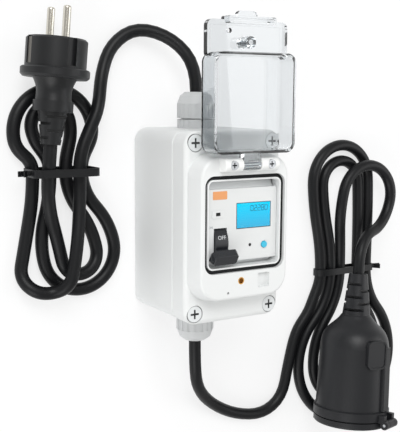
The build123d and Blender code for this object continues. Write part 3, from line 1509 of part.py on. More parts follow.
def tie(name, centre, left, right, top, side):
    """A flat band round a waist, from x left to right and up to z top, its ends twisted up on one side."""
    edge = (right if side > 0 else left) + side * tie_thickness / 2
    with BuildPart() as band:
        with BuildSketch(Plane.XZ.offset(-centre[1] - tie_width / 2)):
            with Locations((centre[0] + (left + right) / 2, (top + tie_thickness + 0.1) / 2)):
                RectangleRounded(
                    right - left + 2 * tie_thickness, top + tie_thickness - 0.1, cord_radius + tie_thickness
                )
                RectangleRounded(right - left, top - tie_thickness - 0.1, cord_radius, mode=Mode.SUBTRACT)
        extrude(amount=tie_width)
        with BuildSketch(Plane(origin=(centre[0] + edge, centre[1], top * tie_knot_height), z_dir=(side, 0, 0))):
            Circle(tie_knot_radius)
        extrude(amount=tie_knot_length)
        for lean in (35, 80):
            stub = Plane(
                origin=(centre[0] + edge + side * (tie_knot_length - 0.8), centre[1], top * tie_knot_height),
                x_dir=(cos(radians(lean)), 0, -side * sin(radians(lean))),
                z_dir=(side * sin(radians(lean)), 0, cos(radians(lean))),
            )
            with BuildSketch(stub):
                Rectangle(tie_thickness, tie_width * 0.7)
            extrude(amount=tie_tail)
    band.part.label = name
    export_step(band.part, "parts/" + name + ".step")


tie("plug_tie", plug_waist, -18.8 - cord_radius, 14.8 + cord_radius, level(2.78) + cord_radius + tie_slack, -1)
tie("coupler_tie", (coupler_waist[0], coupler_waist[1]), -23.8 - cord_radius, 23.3 + cord_radius,
    level(1.12) + cord_radius + tie_slack, 1)
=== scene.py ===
# %% [markdown]
# # A plug-in energy meter with two coiled leads
# The CAD model is the frame of this scene: it gives every rigid piece in metres, with Z out of the
# box's front. Here those pieces get their materials, the two leads are drawn as real curves, and the
# display gets its digits. Nothing of the frame is moved.

from math import cos, radians, sin

import bpy
from mathutils import Matrix, Vector


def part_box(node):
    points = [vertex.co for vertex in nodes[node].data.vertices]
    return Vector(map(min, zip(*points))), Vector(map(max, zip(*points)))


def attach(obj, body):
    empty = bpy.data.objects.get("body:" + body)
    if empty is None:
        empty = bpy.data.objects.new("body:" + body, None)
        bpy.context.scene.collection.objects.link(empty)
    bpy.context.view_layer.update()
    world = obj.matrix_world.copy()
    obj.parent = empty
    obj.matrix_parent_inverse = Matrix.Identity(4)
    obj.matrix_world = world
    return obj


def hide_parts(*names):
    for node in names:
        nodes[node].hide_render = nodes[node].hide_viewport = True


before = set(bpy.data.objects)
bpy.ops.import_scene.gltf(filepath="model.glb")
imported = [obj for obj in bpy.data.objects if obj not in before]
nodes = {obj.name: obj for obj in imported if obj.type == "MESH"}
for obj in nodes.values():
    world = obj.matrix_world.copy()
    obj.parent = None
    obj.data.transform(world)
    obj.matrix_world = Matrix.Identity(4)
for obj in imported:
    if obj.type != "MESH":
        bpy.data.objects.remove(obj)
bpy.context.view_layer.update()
mm = 0.001
print("nodes", len(nodes))


# %% Put an object in the scene
def add_object(name, data):
    """A new object at the origin, unturned and unscaled."""
    made = bpy.data.objects.new(name, data)
    bpy.context.scene.collection.objects.link(made)
    return made


# %% [markdown]
# ## The camera
# The photo looks down on the lying box from its left and a little from its upper end. A camera can be
# aimed by a constraint, but three angles, in radians, say exactly how it was held. The place, the
# angles and the lens were solved from the box's corners, so the camera is set once, before anything
# else.

# %% Camera at the photo's place
camera_place = Vector((-301.5, 83.0, 520.1)) * mm
camera_turn = 0.550
camera_pitch = 0.140
camera_roll = 0.006
lens_length_mm = 72.4
sensor_width_mm = 36.0

back = Vector(
    (
        -sin(camera_turn) * cos(camera_pitch),
        sin(camera_pitch),
        cos(camera_turn) * cos(camera_pitch),
    )
)
right = Vector((0, 1, 0)).cross(back).normalized()
up = back.cross(right)
rolled_right = right * cos(camera_roll) + up * sin(camera_roll)
rolled_up = up * cos(camera_roll) - right * sin(camera_roll)

camera_data = bpy.data.cameras.new("camera")
camera_data.lens = lens_length_mm
camera_data.sensor_width = sensor_width_mm
camera = add_object("camera", camera_data)
camera.matrix_world = Matrix.Translation(camera_place) @ Matrix(
    (
        (rolled_right.x, rolled_up.x, back.x),
        (rolled_right.y, rolled_up.y, back.y),
        (rolled_right.z, rolled_up.z, back.z),
    )
).to_4x4()
bpy.context.scene.camera = camera
print("camera at", [round(v, 4) for v in camera_place])

# %% [markdown]
# ## Colours and materials
# Colours are written as sRGB hex values, as a paint chart gives them, and one function turns them to
# the linear values that the shader works with. Every surface below is a Principled shader that starts
# from what the real stuff is. A plain colour or shine is set on the shader's own socket, and nodes are
# added only where it changes over the surface.


# %% A colour, a node and a material
def linear(code):
    """An sRGB hex colour as linear red, green, blue, alpha."""
    values = []
    for k in (1, 3, 5):
        part = int(code[k : k + 2], 16) / 255
        values.append(part / 12.92 if part <= 0.04045 else ((part + 0.055) / 1.055) ** 2.4)
    return (*values, 1.0)


def add_node(tree, kind, values=None, links=None, **settings):
    """A node with its settings, the values of its sockets and the outputs that feed them."""
    made = tree.nodes.new(kind)
    for name, setting in settings.items():
        setattr(made, name, setting)
    for socket, value in (values or {}).items():
        made.inputs[socket].default_value = value
    for socket, source in (links or {}).items():
        tree.links.new(source, made.inputs[socket])
    return made


def shader_of(material):
    """The Principled shader of a material."""
    return material.node_tree.nodes["Principled BSDF"]


def new_material(name, colour, roughness, metallic=0.0, ior=1.5, specular=0.5):
    """A Principled material that is the same all over."""
    material = bpy.data.materials.new(name)
    material.use_nodes = True
    material.diffuse_color = linear(colour)
    values = {
        "Base Color": linear(colour),
        "Roughness": roughness,
        "Metallic": metallic,
        "IOR": ior,
        "Specular IOR Level": specular,
    }
    for socket, value in values.items():
        shader_of(material).inputs[socket].default_value = value
    return material


print("mid grey is", round(linear("#808080")[0], 3), "in linear light")


# %% Grain, mottle and fade
def add_grain(material, grain_mm, strength, depth_mm=0.05):
    """A bump whose grains are grain_mm wide and at most depth_mm high."""
    tree = material.node_tree
    place = add_node(tree, "ShaderNodeTexCoord")
    noise = add_node(
        tree,
        "ShaderNodeTexNoise",
        {"Scale": 1 / (grain_mm * mm), "Detail": 2.0},
        {"Vector": place.outputs["Object"]},
    )
    bump = add_node(
        tree,
        "ShaderNodeBump",
        {"Strength": strength, "Distance": depth_mm * mm},
        {"Height": noise.outputs["Fac"]},
    )
    tree.links.new(bump.outputs["Normal"], shader_of(material).inputs["Normal"])


def add_mottle(material, low, high, size_mm):
    """Roughness that wanders between two values over size_mm, as handling and moulding leave it."""
    tree = material.node_tree
    place = add_node(tree, "ShaderNodeTexCoord")
    noise = add_node(
        tree,
        "ShaderNodeTexNoise",
        {"Scale": 1 / (size_mm * mm), "Detail": 3.0},
        {"Vector": place.outputs["Object"]},
    )
    span = add_node(
        tree, "ShaderNodeMapRange", {"To Min": low, "To Max": high}, {"Value": noise.outputs["Fac"]}
    )
    tree.links.new(span.outputs["Result"], shader_of(material).inputs["Roughness"])


def add_fade(material, socket, axis, low, high, low_colour, high_colour):
    """A colour that changes along an axis, from one place to another in metres."""
    tree = material.node_tree
    place = add_node(tree, "ShaderNodeTexCoord")
    axes = add_node(tree, "ShaderNodeSeparateXYZ", links={"Vector": place.outputs["Object"]})
    span = add_node(
        tree, "ShaderNodeMapRange", {"From Min": low, "From Max": high}, {"Value": axes.outputs[axis]}
    )
    mix = add_node(
        tree,
        "ShaderNodeMix",
        {"A": linear(low_colour), "B": linear(high_colour)},
        {"Factor": span.outputs["Result"]},
        data_type="RGBA",
    )
    tree.links.new(mix.outputs["Result"], shader_of(material).inputs[socket])


# %% [markdown]
# ### The enclosure's plastic
# The box and cover are injection-moulded polycarbonate in a very light grey, and the glands are nylon.
# The mould is spark eroded, which leaves grains of about 0.3 mm and a satin shine. An image of the
# grain would need unwrapping, so a noise in the object's own space makes it. The grains are drawn
# 0.6 to 0.8 mm wide so that they show. The screws' cross recesses carry painted shade: their colour
# darkens there with depth.

# %% Moulded light grey plastics
box_plastic = new_material("moulded polycarbonate, light grey", "#E2E4E4", roughness=0.38, ior=1.585)
add_grain(box_plastic, grain_mm=0.8, strength=0.12)
add_mottle(box_plastic, low=0.33, high=0.45, size_mm=25)

gland_plastic = new_material("moulded nylon, light grey", "#CFD1D2", roughness=0.42, ior=1.53)
add_grain(gland_plastic, grain_mm=0.8, strength=0.10)

lug_plastic = new_material("moulded nylon, white", "#EEEFEE", roughness=0.35, ior=1.53)

recess_floor = 68.5 * mm
recess_rim = 69.02 * mm
screw_grey = "#DCDFE0"
shaded_screw_plastic = new_material("moulded nylon screw, light grey, painted recess shade", screw_grey, roughness=0.36, ior=1.53)
# Painted shade: the screws darken from their grey at the rim to near black at the recess floor.
add_fade(shaded_screw_plastic, "Base Color", "Z", recess_floor, recess_rim, "#26282A", screw_grey)

meter_plastic = new_material("moulded PBT, white", "#ECEEEF", roughness=0.34, ior=1.57)
add_grain(meter_plastic, grain_mm=0.6, strength=0.08)

face_film = new_material("printed PET face film, white", "#D9DBDB", roughness=0.28, ior=1.57)
print("pale plastics made")

# %% [markdown]
# ### The clear lid
# The lid is polished polycarbonate. It could be a thin see-through shader, but light that really passes
# the walls bends at their edges, and that is what draws the grey lines along them. So the shader
# transmits all light, with a faint grey for the thickness of the moulding. The display's lens is thin
# acrylic. Its index is below the real 1.49, so that little of the panel's light is lost in it.

# %% Clear plastics
clear_plastic = new_material("polished clear polycarbonate", "#E6E9EB", roughness=0.02, ior=1.49)
lens_plastic = new_material("clear acrylic lens", "#F4F8FA", roughness=0.03, ior=1.2)
for material in (clear_plastic, lens_plastic):
    shader_of(material).inputs["Transmission Weight"].default_value = 1.0
print("clear plastics made")

# %% [markdown]
# ### Rubber, cord sheath and seals
# A cord's sheath is extruded rubber: nearly black, with a soft sheen along its length. The plug is
# moulded from the same rubber but shows its mould's texture. The coupler is a harder satin plastic, and
# the seals are foam, which is dull. Their real grain is finer than 0.2 mm, so it is drawn 0.6 to 1.6 mm
# wide to show at all. A displaced mesh could carry it, but a bump is enough for a grain this fine and
# adds no faces. The lever and the lamps are smooth mouldings and need none.

# %% Black rubbers and plastics
sheath_rubber = new_material(
    "extruded rubber sheath, black", "#121315", roughness=0.42, ior=1.52, specular=0.24
)
add_grain(sheath_rubber, grain_mm=1.6, strength=0.10, depth_mm=0.08)

plug_rubber = new_material("moulded rubber, black", "#17181A", roughness=0.40, ior=1.52, specular=0.36)
add_grain(plug_rubber, grain_mm=0.9, strength=0.18)

coupler_plastic = new_material(
    "moulded hard rubber, black", "#1A1B1E", roughness=0.42, ior=1.54, specular=0.34
)
add_grain(coupler_plastic, grain_mm=0.9, strength=0.16)

seal_rubber = new_material(
    "foamed rubber seal, black", "#141618", roughness=0.75, ior=1.5, specular=0.3
)
add_grain(seal_rubber, grain_mm=0.6, strength=0.25)

tie_plastic = new_material(
    "PVC-covered wire tie, black", "#121315", roughness=0.40, ior=1.53, specular=0.3
)
lever_plastic = new_material("moulded ABS lever, black", "#222428", roughness=0.24, ior=1.54)
lamp_plastic = new_material("tinted acrylic lamp, dark", "#101114", roughness=0.12, ior=1.49)
print("black materials made")

# %% [markdown]
# ### Metals, cores and prints
# The plug's pins are nickel-plated brass, turned and polished, and its earth strips are rougher steel,
# whose colour is darkened as painted shade.
# The insert is plain brass, and the screws and rail are zinc-plated steel. A metal shows nothing but
# its tinted mirror, so each is one colour at full metallic, and the roughness tells polished from
# plated. The lug screws alone also carry painted shade, darkening towards the floor of their recesses.
# Turning marks could be drawn on the metals, but they are too fine to see here. The cores' PVC and the
# printed films and inks are the same all over.

# %% Metals
nickel = new_material("nickel-plated brass", "#D6D2C8", roughness=0.20, metallic=1.0)
# The earth strips' colour is darkened as painted shade, for the shadow that they lie in.
shaded_strip_steel = new_material("rough nickel-plated steel, darkened as painted shade", "#77746F", roughness=0.42, metallic=1.0)
brass = new_material("turned brass", "#D9A860", roughness=0.28, metallic=1.0)
zinc_steel = new_material("zinc-plated steel", "#BFC2C5", roughness=0.32, metallic=1.0)

lug_recess_floor = 89.5 * mm
lug_recess_rim = 90.0 * mm
lug_grey = "#B9BCBF"
shaded_lug_steel = new_material("zinc-plated lug screw, painted recess shade", lug_grey, roughness=0.32, metallic=1.0)
# Painted shade: the lug screws darken from their grey at the rim to near black at the recess floor.
add_fade(shaded_lug_steel, "Base Color", "Z", lug_recess_floor, lug_recess_rim, "#1A1B1D", lug_grey)
print("metals made")

# %% Films, button, cores and inks
badge_film = new_material("printed film, orange", "#E09A62", roughness=0.35)
button_plastic = new_material("moulded ABS button, cyan", "#2FB7D8", roughness=0.28, ior=1.54)
core_brown = new_material("PVC core, brown", "#5A3318", roughness=0.40)
core_blue = new_material("PVC core, blue", "#1E62C0", roughness=0.40)
core_green = new_material("PVC core, green and yellow", "#7FB32E", roughness=0.40)
segment_dark = new_material("liquid-crystal segment, dark blue", "#0A3C66", roughness=0.35)
print_grey = new_material("printed ink, grey", "#7C848B", roughness=0.50)
print_pale = new_material("printed ink, pale grey", "#C9CCCE", roughness=0.50)
print("small coloured parts made")

# %% [markdown]
# ### The display's backlight
# The panel is lit from behind by a lamp along its upper edge, so its blue is brightest there. A lamp
# object behind a clear sheet would need many more samples. Instead the panel itself sends out light,
# and its colour fades over the panel's own height, which the frame gives.

# %% Backlit panel
display_low, display_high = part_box("display_panel")
backlight_strength = 0.66
display_light = new_material("liquid-crystal panel, blue backlight", "#1098BE", roughness=0.30)
shader_of(display_light).inputs["Emission Strength"].default_value = backlight_strength
add_fade(display_light, "Emission Color", "Y", display_low[1], display_high[1], "#52C2D6", "#04EAFA")
print("display from", display_low, "to", display_high)

# %% [markdown]
# ### Dress the frame
# Each CAD piece is one material on the real object. They could be given one by one, but a table from
# piece to material is quick to read, and one loop applies it. The meshes stay as the CAD made them.

# %% Give every CAD piece its material
finish = {
    "back_box": box_plastic,
    "front_cover": box_plastic,
    "cover_gasket": seal_rubber,
    "cover_screws": shaded_screw_plastic,
    "window_seal": seal_rubber,
    "lock_insert": brass,
    "hinge_lugs": lug_plastic,
    "hinge_screws": shaded_lug_steel,
    "hinge_pin": zinc_steel,
    "window_lid": clear_plastic,
    "lock_screw": zinc_steel,
    "din_rail": zinc_steel,
    "rail_screws": zinc_steel,
    "meter_housing": meter_plastic,
    "face_plate": face_film,
    "flag_window": lamp_plastic,
    "badge": badge_film,
    "status_lamp": lamp_plastic,
    "display_panel": display_light,
    "display_lens": lens_plastic,
    "test_button": button_plastic,
    "toggle_lever": lever_plastic,
    "toggle_pin": zinc_steel,
    "terminal_screws": zinc_steel,
    "rail_clip": shaded_screw_plastic,
    "brown_wires": core_brown,
    "blue_wires": core_blue,
    "earth_wire": core_green,
    "plug_body": plug_rubber,
    "plug_pins": nickel,
    "plug_earth_strips": shaded_strip_steel,
    "plug_tie": tie_plastic,
    "coupler_body": coupler_plastic,
    "coupler_insert": coupler_plastic,
    "coupler_contacts": brass,
    "coupler_earth_clips": nickel,
    "coupler_flap": coupler_plastic,
    "flap_pin": zinc_steel,
    "coupler_tie": tie_plastic,
}
for lead in ("plug", "coupler"):
    for gland_part in ("gland_body", "gland_nut", "gland_locknut"):
        finish[lead + "_" + gland_part] = gland_plastic
    finish[lead + "_gland_seal"] = seal_rubber
    finish[lead + "_sheath_end"] = sheath_rubber
for name, material in finish.items():
    materials = nodes[name].data.materials
    materials.clear()
    materials.append(material)
print("finished", len(finish), "pieces")

# %% [markdown]
# ## The leads
# Each lead is one unbroken cord: a free stretch from its gland, then a figure-of-eight hank, then a
# straight end in the plug or the coupler. It could be a swept mesh, but a NURBS curve with a round
# bevel keeps the cord's true diameter everywhere and its route stays easy to change. The hank is made
# from stations, each a point with a direction, and two arcs join each pair of stations, so the cord
# turns smoothly from one to the next. Sizes here are in millimetres.

# %% Sizes of the cords
cord_diameter = 8.4
cord_radius = cord_diameter / 2
layer_step = 8.9
cord_start_y = 84.1
gland_z = 22.5


def level(layer):
    """Height of a cord's centre in a layer of the pile, where layer 1 lies on the floor."""
    return cord_radius + layer_step * (layer - 1)


print("cord centres lie", level(1), "and", level(2), "mm above the floor")


# %% Stations of a hank
def wind(centre, passes, loops, first_way, last_side):
    """Stations, as points with directions, of a cord that passes the waist and loops, again and again.

    A pass is its place across the waist and its layer. The loop after it is how far its top leans to
    one side, its half width, its reach from the centre, and the layers that it comes in and goes out on.
    The first pass runs up Y where first_way is 1 and down where it is -1, and the last loop closes
    towards last_side along X in the same way.
    """
    cx, cy = centre
    stations = []
    for k, (x, layer) in enumerate(passes):
        way = first_way if k % 2 == 0 else -first_way
        stations.append((Vector((cx + x, cy, level(layer))), Vector((0, way, 0))))
        lean, half, reach, layer_in, layer_out = loops[k]
        turn = lean / reach
        side = last_side
        if k + 1 < len(passes):
            side = 1 if passes[k + 1][0] > x else -1
        along = Vector((sin(turn), way * cos(turn), 0))
        across = Vector((cos(turn), -way * sin(turn), 0))
        root = Vector((cx, cy, 0))
        shaft = root + along * (reach - half)
        up_in = Vector((0, 0, level(layer_in)))
        up_out = Vector((0, 0, level(layer_out)))
        stations.append((shaft - across * (side * half) + up_in, along))
        stations.append((root + along * reach + (up_in + up_out) / 2, across * side))
        stations.append((shaft + across * (side * half) + up_out, along * -1))
    return stations


# %% Points along the arcs
turn_step = radians(16)
longest_step = 6.0
straight_limit = 1e-5
parallel_limit = 1e-6


def arc_points(start, direction, end):
    """Points from start up to end along the arc that leaves start in direction."""
    chord = end - start
    normal = direction.cross(chord)
    if normal.length < straight_limit * chord.length:
        count = max(1, int(chord.length / longest_step))
        return [start + chord * (k / count) for k in range(count)]
    inward = normal.cross(direction).normalized()
    radius = chord.dot(chord) / (2 * chord.dot(inward))
    angle = 2 * direction.angle(chord)
    count = max(1, int(angle / turn_step) + 1, int(radius * angle / longest_step) + 1)
    centre = start + inward * radius
    points = []
    for k in range(count):
        a = angle * k / count
        points.append(centre - inward * (radius * cos(a)) + direction * (radius * sin(a)))
    return points


def route_points(stations):
    """Points along the route where two arcs that share a tangent join each station to the next."""
    points = []
    for (start, start_dir), (end, end_dir) in zip(stations, stations[1:]):
        gap = end - start
        total = start_dir + end_dir
        spread = 2 * (1 - start_dir.dot(end_dir))
        if spread < parallel_limit:
            reach = gap.dot(gap) / (4 * gap.dot(start_dir))
        else:
            reach = (-gap.dot(total) + (gap.dot(total) ** 2 + spread * gap.dot(gap)) ** 0.5) / spread
        near = start + start_dir * reach
        far = end - end_dir * reach
        middle = (near + far) / 2
        points += arc_points(start, start_dir, middle)
        points += arc_points(middle, (far - near).normalized(), end)
    points.append(stations[-1][0])
    return points


# %% Draw a cord as a curve
def cord_curve(name, points):
    """A NURBS curve of order 3 with a round bevel, from its control points in millimetres."""
    curve = bpy.data.curves.new(name, "CURVE")
    curve.dimensions = "3D"
    spline = curve.splines.new("NURBS")
    spline.points.add(len(points) - 1)
    for target, point in zip(spline.points, points):
        target.co = (*(point * mm), 1.0)
    spline.order_u = 3
    spline.use_endpoint_u = True
    curve.resolution_u = 4
    curve.bevel_depth = cord_radius * mm
    curve.bevel_resolution = 6
    curve.use_fill_caps = True
    curve.materials.append(sheath_rubber)
    print(name, "has", len(points), "control points")
    return add_object(name, curve)


# %% [markdown]
# ### The plug's lead
# It leaves the upper gland, bends over to the left, drops to the floor and climbs over its own first
# loop into the hank. The last strand runs straight into the plug's strain relief. The free stretch
# follows listed points, and the hank follows its rows of passes and loops. The two tail points
# keep the cord straight where the strain relief holds it.

# %% Plug lead
plug_turn = radians(5.0)
plug_dir = Vector((sin(plug_turn), cos(plug_turn), 0))
plug_face = Vector((-97.0, 115.5, 21.2))
plug_length = 64.0
plug_tail = plug_face - plug_dir * plug_length
plug_entry = Vector((-72.8, 61.0, level(2.1)))
plug_entry_dir = Vector((-0.42, -0.908, 0)).normalized()
plug_straight_out = 16.9
plug_straight_in = 14.3
plug_lead_points = [
    Vector((0, cord_start_y, gland_z)),
    Vector((0, cord_start_y + plug_straight_out, gland_z)),
    Vector((-13.0, 119.0, 14.5)),
    Vector((-35.0, 126.0, 5.5)),
    Vector((-53.5, 114.0, level(1))),
    Vector((-60.5, 95.0, level(1))),
    plug_entry - plug_entry_dir * plug_straight_in,
]
print("plug lead has", len(plug_lead_points), "points by hand")

# %% Plug hank
plug_centre = (-90.0, 34.0)
plug_passes = [(9.5, 2.1), (-18.5, 1.12), (14.5, 1.12), (-7.0, 1.12), (3.5, 1.12)]
plug_loops = [
    (-15.5, 14.5, 78.0, 2.7, 1.0),
    (-7.5, 26.5, 51.5, 1.0, 1.0),
    (19.0, 25.0, 80.0, 1.0, 1.0),
    (-8.0, 13.0, 42.0, 1.0, 1.0),
    (14.5, 13.5, 69.0, 1.0, 1.6),
]
plug_rise = Vector((-103.5, 28.0, level(2.6)))
plug_rise_dir = Vector((0.04, 0.999, 0)).normalized()
plug_stations = [
    (plug_entry, plug_entry_dir),
    (plug_entry + plug_entry_dir * cord_diameter, plug_entry_dir),
    *wind(plug_centre, plug_passes, plug_loops, -1, -1),
    (plug_rise, plug_rise_dir),
    (plug_tail - plug_dir * cord_diameter, plug_dir),
    (plug_tail, plug_dir),
]
plug_cord = cord_curve("plug_cord", plug_lead_points + route_points(plug_stations))
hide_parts("plug_lead", "plug_hank")
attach(plug_cord, "box")

# %% [markdown]
# ### The coupler's lead
# It leaves the lower gland, sweeps right along the floor and runs up beside the large lower loop. Five
# loops follow, and the last strand rises into the coupler's strain relief. The coupler lies a little
# tilted, and the cord's tail is tilted with it. The two leads differ only in their values, so the
# functions above draw this one too.

# %% Coupler lead
coupler_turn = radians(5.0)
coupler_tilt = radians(3.5)
coupler_dir = Vector(
    (-sin(coupler_turn) * cos(coupler_tilt), -cos(coupler_turn) * cos(coupler_tilt), sin(coupler_tilt))
)
coupler_mouth = Vector((130.6, -159.0, 37.5))
coupler_length = 108.0
coupler_tail = coupler_mouth - coupler_dir * coupler_length
coupler_entry = Vector((117.0, -75.0, level(1.12)))
coupler_entry_turn = radians(25)
coupler_entry_dir = Vector((sin(coupler_entry_turn), cos(coupler_entry_turn), 0))
coupler_straight_out = 19.9
coupler_straight_in = 11.0
coupler_lead_points = [
    Vector((0, -cord_start_y, gland_z)),
    Vector((0, -cord_start_y - coupler_straight_out, gland_z)),
    Vector((7.0, -124.0, 15.0)),
    Vector((24.0, -141.0, 6.5)),
    Vector((47.0, -154.0, level(1))),
    Vector((72.0, -158.5, level(1))),
    Vector((90.0, -148.0, level(1))),
    Vector((95.0, -124.0, level(1))),
    Vector((101.5, -98.0, level(1))),
    coupler_entry - coupler_entry_dir * coupler_straight_in,
]
print("coupler lead has", len(coupler_lead_points), "points by hand")

# %% Coupler hank
coupler_centre = (147.3, -53.5)
coupler_passes = [(-23.5, 1.12), (23.0, 1.12), (-13.5, 1.12), (13.5, 1.12), (-4.0, 1.12)]
coupler_loops = [
    (-6.0, 27.5, 98.0, 1.0, 1.0),
    (8.0, 47.0, 120.0, 1.0, 1.0),
    (-6.0, 17.5, 86.0, 1.0, 1.0),
    (8.0, 33.0, 106.5, 1.0, 1.0),
    (20.0, 24.0, 84.0, 2.1, 2.2),
]
coupler_stations = [
    (coupler_entry, coupler_entry_dir),
    (coupler_entry + coupler_entry_dir * cord_diameter, coupler_entry_dir),
    *wind(coupler_centre, coupler_passes, coupler_loops, 1, 1),
    (coupler_tail - coupler_dir * cord_diameter, coupler_dir),
    (coupler_tail, coupler_dir),
]
coupler_cord = cord_curve("coupler_cord", coupler_lead_points + route_points(coupler_stations))
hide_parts("coupler_lead", "coupler_hank")
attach(coupler_cord, "box")

# %% [markdown]
# ## The display's segments
# A liquid-crystal display shows digits of up to seven dark segments. They could be modelled one by
# one, but only the places of the dark segments differ, so one small segment is instanced on points with
# Geometry Nodes, and the result is kept as a plain mesh. The segments lie on the panel, under the clear
# lens.

# %% Where the dark segments go
digit_height = 4.6
digit_width = 2.5
digit_pitch = 3.6
reading_scale = 0.75
reading_from_left = 10.8
reading_from_foot = 10.2
segment_spots = {
    "a": (0.5, 1.0, 0),
    "b": (1.0, 0.75, 90),
    "c": (1.0, 0.25, 90),
    "d": (0.5, 0.0, 0),
    "e": (0.0, 0.25, 90),
    "f": (0.0, 0.75, 90),
    "g": (0.5, 0.5, 0),
}
dark = {"0": "abcdef", "2": "abged", "8": "abcdefg"}


def digit_places(text, left, foot, scale):
    """Places in millimetres and turns in radians of the dark segments of a row of digits."""
    found = []
    for k, character in enumerate(text):
        for key in dark[character]:
            u, v, turned = segment_spots[key]
            x = left + (k * digit_pitch + u * digit_width) * scale
            y = foot + v * digit_height * scale
            found.append((x, y, radians(turned)))
    return found


reading = digit_places(
    "02280",
    display_low[0] / mm + reading_from_left,
    display_low[1] / mm + reading_from_foot,
    reading_scale,
)
print("dark segments", len(reading))

# %% A geometry tree that sets one segment on each place
corner_gap = 0.5
segment_length = digit_width - corner_gap
segment_width = 0.5
segment_height = 0.04

tree = bpy.data.node_groups.new("segments on places", "GeometryNodeTree")
tree.interface.new_socket(name="Geometry", in_out="INPUT", socket_type="NodeSocketGeometry")
length_socket = tree.interface.new_socket(name="Length", in_out="INPUT", socket_type="NodeSocketFloat")
width_socket = tree.interface.new_socket(name="Width", in_out="INPUT", socket_type="NodeSocketFloat")
tree.interface.new_socket(name="Geometry", in_out="OUTPUT", socket_type="NodeSocketGeometry")
start = add_node(tree, "NodeGroupInput")
size = add_node(
    tree,
    "ShaderNodeCombineXYZ",
    {"Z": segment_height * mm},
    {"X": start.outputs["Length"], "Y": start.outputs["Width"]},
)
block = add_node(tree, "GeometryNodeMeshCube", links={"Size": size.outputs["Vector"]})
turned = add_node(tree, "GeometryNodeInputNamedAttribute", {"Name": "turned"}, data_type="FLOAT_VECTOR")
sized = add_node(tree, "GeometryNodeInputNamedAttribute", {"Name": "sized"}, data_type="FLOAT_VECTOR")
placed = add_node(
    tree,
    "GeometryNodeInstanceOnPoints",
    links={
        "Points": start.outputs["Geometry"],
        "Instance": block.outputs["Mesh"],
        "Rotation": turned.outputs["Attribute"],
        "Scale": sized.outputs["Attribute"],
    },
)
real = add_node(tree, "GeometryNodeRealizeInstances", links={"Geometry": placed.outputs["Instances"]})
paint = add_node(
    tree, "GeometryNodeSetMaterial", {"Material": segment_dark}, {"Geometry": real.outputs["Geometry"]}
)
add_node(tree, "NodeGroupOutput", links={"Geometry": paint.outputs["Geometry"]})
print("tree nodes", len(tree.nodes))


# %% Evaluate it and keep the plain mesh
def plain_mesh(piece):
    """The shape that an object has once its modifiers and curves are worked out, as a mesh."""
    bpy.context.view_layer.update()
    return bpy.data.meshes.new_from_object(piece.evaluated_get(bpy.context.evaluated_depsgraph_get()))


segment_lift = 0.03
segment_z = display_high[2] + segment_lift * mm
points = bpy.data.meshes.new("segment places")
points.from_pydata([(x * mm, y * mm, segment_z) for x, y, turn in reading], [], [])
turns = points.attributes.new("turned", "FLOAT_VECTOR", "POINT")
sizes = points.attributes.new("sized", "FLOAT_VECTOR", "POINT")
for k, (x, y, turn) in enumerate(reading):
    turns.data[k].vector = (0, 0, turn)
    sizes.data[k].vector = (reading_scale, reading_scale, 1)
segments = add_object("display_segments", points)
modifier = segments.modifiers.new("segments", "NODES")
modifier.node_group = tree
modifier[length_socket.identifier] = segment_length * mm
modifier[width_socket.identifier] = segment_width * mm
segment_mesh = plain_mesh(segments)
segments.modifiers.clear()
segments.data = segment_mesh
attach(segments, "box")
print("display mesh faces", len(segment_mesh.polygons))

# %% [markdown]
# ## The switch marks
# A breaker's two places are marked beside its slot, and the place that it is in on its drum. An image
# on the film would blur in a close view, so the letters are real outlines in a thin layer of ink,
# turned into plain meshes. On the drum their points are bent round its axis.

# %% Letters as plain meshes
plate_front = 78.6
ink_and_shade_height = 0.02
plate_letter = 2.0
drum_letter = 3.4


def letters(text, ink, size_mm):
    """Thin letters centred on x with their foot at y 0, as a mesh in metres."""
    outline = bpy.data.curves.new("letters " + text, "FONT")
    outline.body = text
    outline.size = size_mm * mm
    outline.extrude = ink_and_shade_height / 2 * mm
    outline.align_x = "CENTER"
    holder = add_object("letters " + text, outline)
    flat = plain_mesh(holder)
    bpy.data.objects.remove(holder)
    flat.materials.clear()
    flat.materials.append(ink)
    return flat


def keep_mark(name, flat, body):
    """Make a mark a piece of its own that rides on a body."""
    piece = add_object(name, flat)
    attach(piece, body)
    print(name, "has", len(flat.polygons), "faces")


# %% ON and OFF beside the toggle
marks_x = -23.3
mark_feet = {"ON": 1.6, "OFF": -18.8}
for text, foot in mark_feet.items():
    flat = letters(text, print_grey, plate_letter)
    flat.transform(Matrix.Translation(Vector((marks_x, foot, plate_front + ink_and_shade_height)) * mm))
    keep_mark("mark_" + text.lower(), flat, "box")

# %% OFF on the drum
drum_centre = Vector((-16.0, -8.0, 69.0)) * mm
drum_radius = 12.0 * mm
drum_ink_gap = 0.05 * mm
drum_mark_angle = radians(13)
flat = letters("OFF", print_pale, drum_letter)
for vertex in flat.vertices:
    angle = drum_mark_angle + vertex.co.y / drum_radius
    reach = drum_radius + drum_ink_gap + vertex.co.z
    vertex.co = drum_centre + Vector((vertex.co.x, reach * sin(angle), reach * cos(angle)))
keep_mark("drum_mark", flat, "toggle")

# %% [markdown]
# ## The painted shade round the display
# The lens sits in a cut-out of the face film, whose edge shows as a dark line of shade round it. A bevel
# on the film would be too fine to draw that line. So the shade is painted as a thin dark ring: the
# lens's own outline, and the same outline one line width larger, each at the bottom and the top of the
# ring.

# %% Ring of painted shade round the lens
line_width = 0.45
lens_low, lens_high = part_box("display_lens")
ring_low = plate_front * mm
ring_high = (plate_front + 2 * ink_and_shade_height) * mm
corners = []
for height in (ring_low, ring_high):
    for grow in (0.0, line_width * mm):
        corners += [
            (lens_low[0] - grow, lens_low[1] - grow, height),
            (lens_high[0] + grow, lens_low[1] - grow, height),
            (lens_high[0] + grow, lens_high[1] + grow, height),
            (lens_low[0] - grow, lens_high[1] + grow, height),
        ]
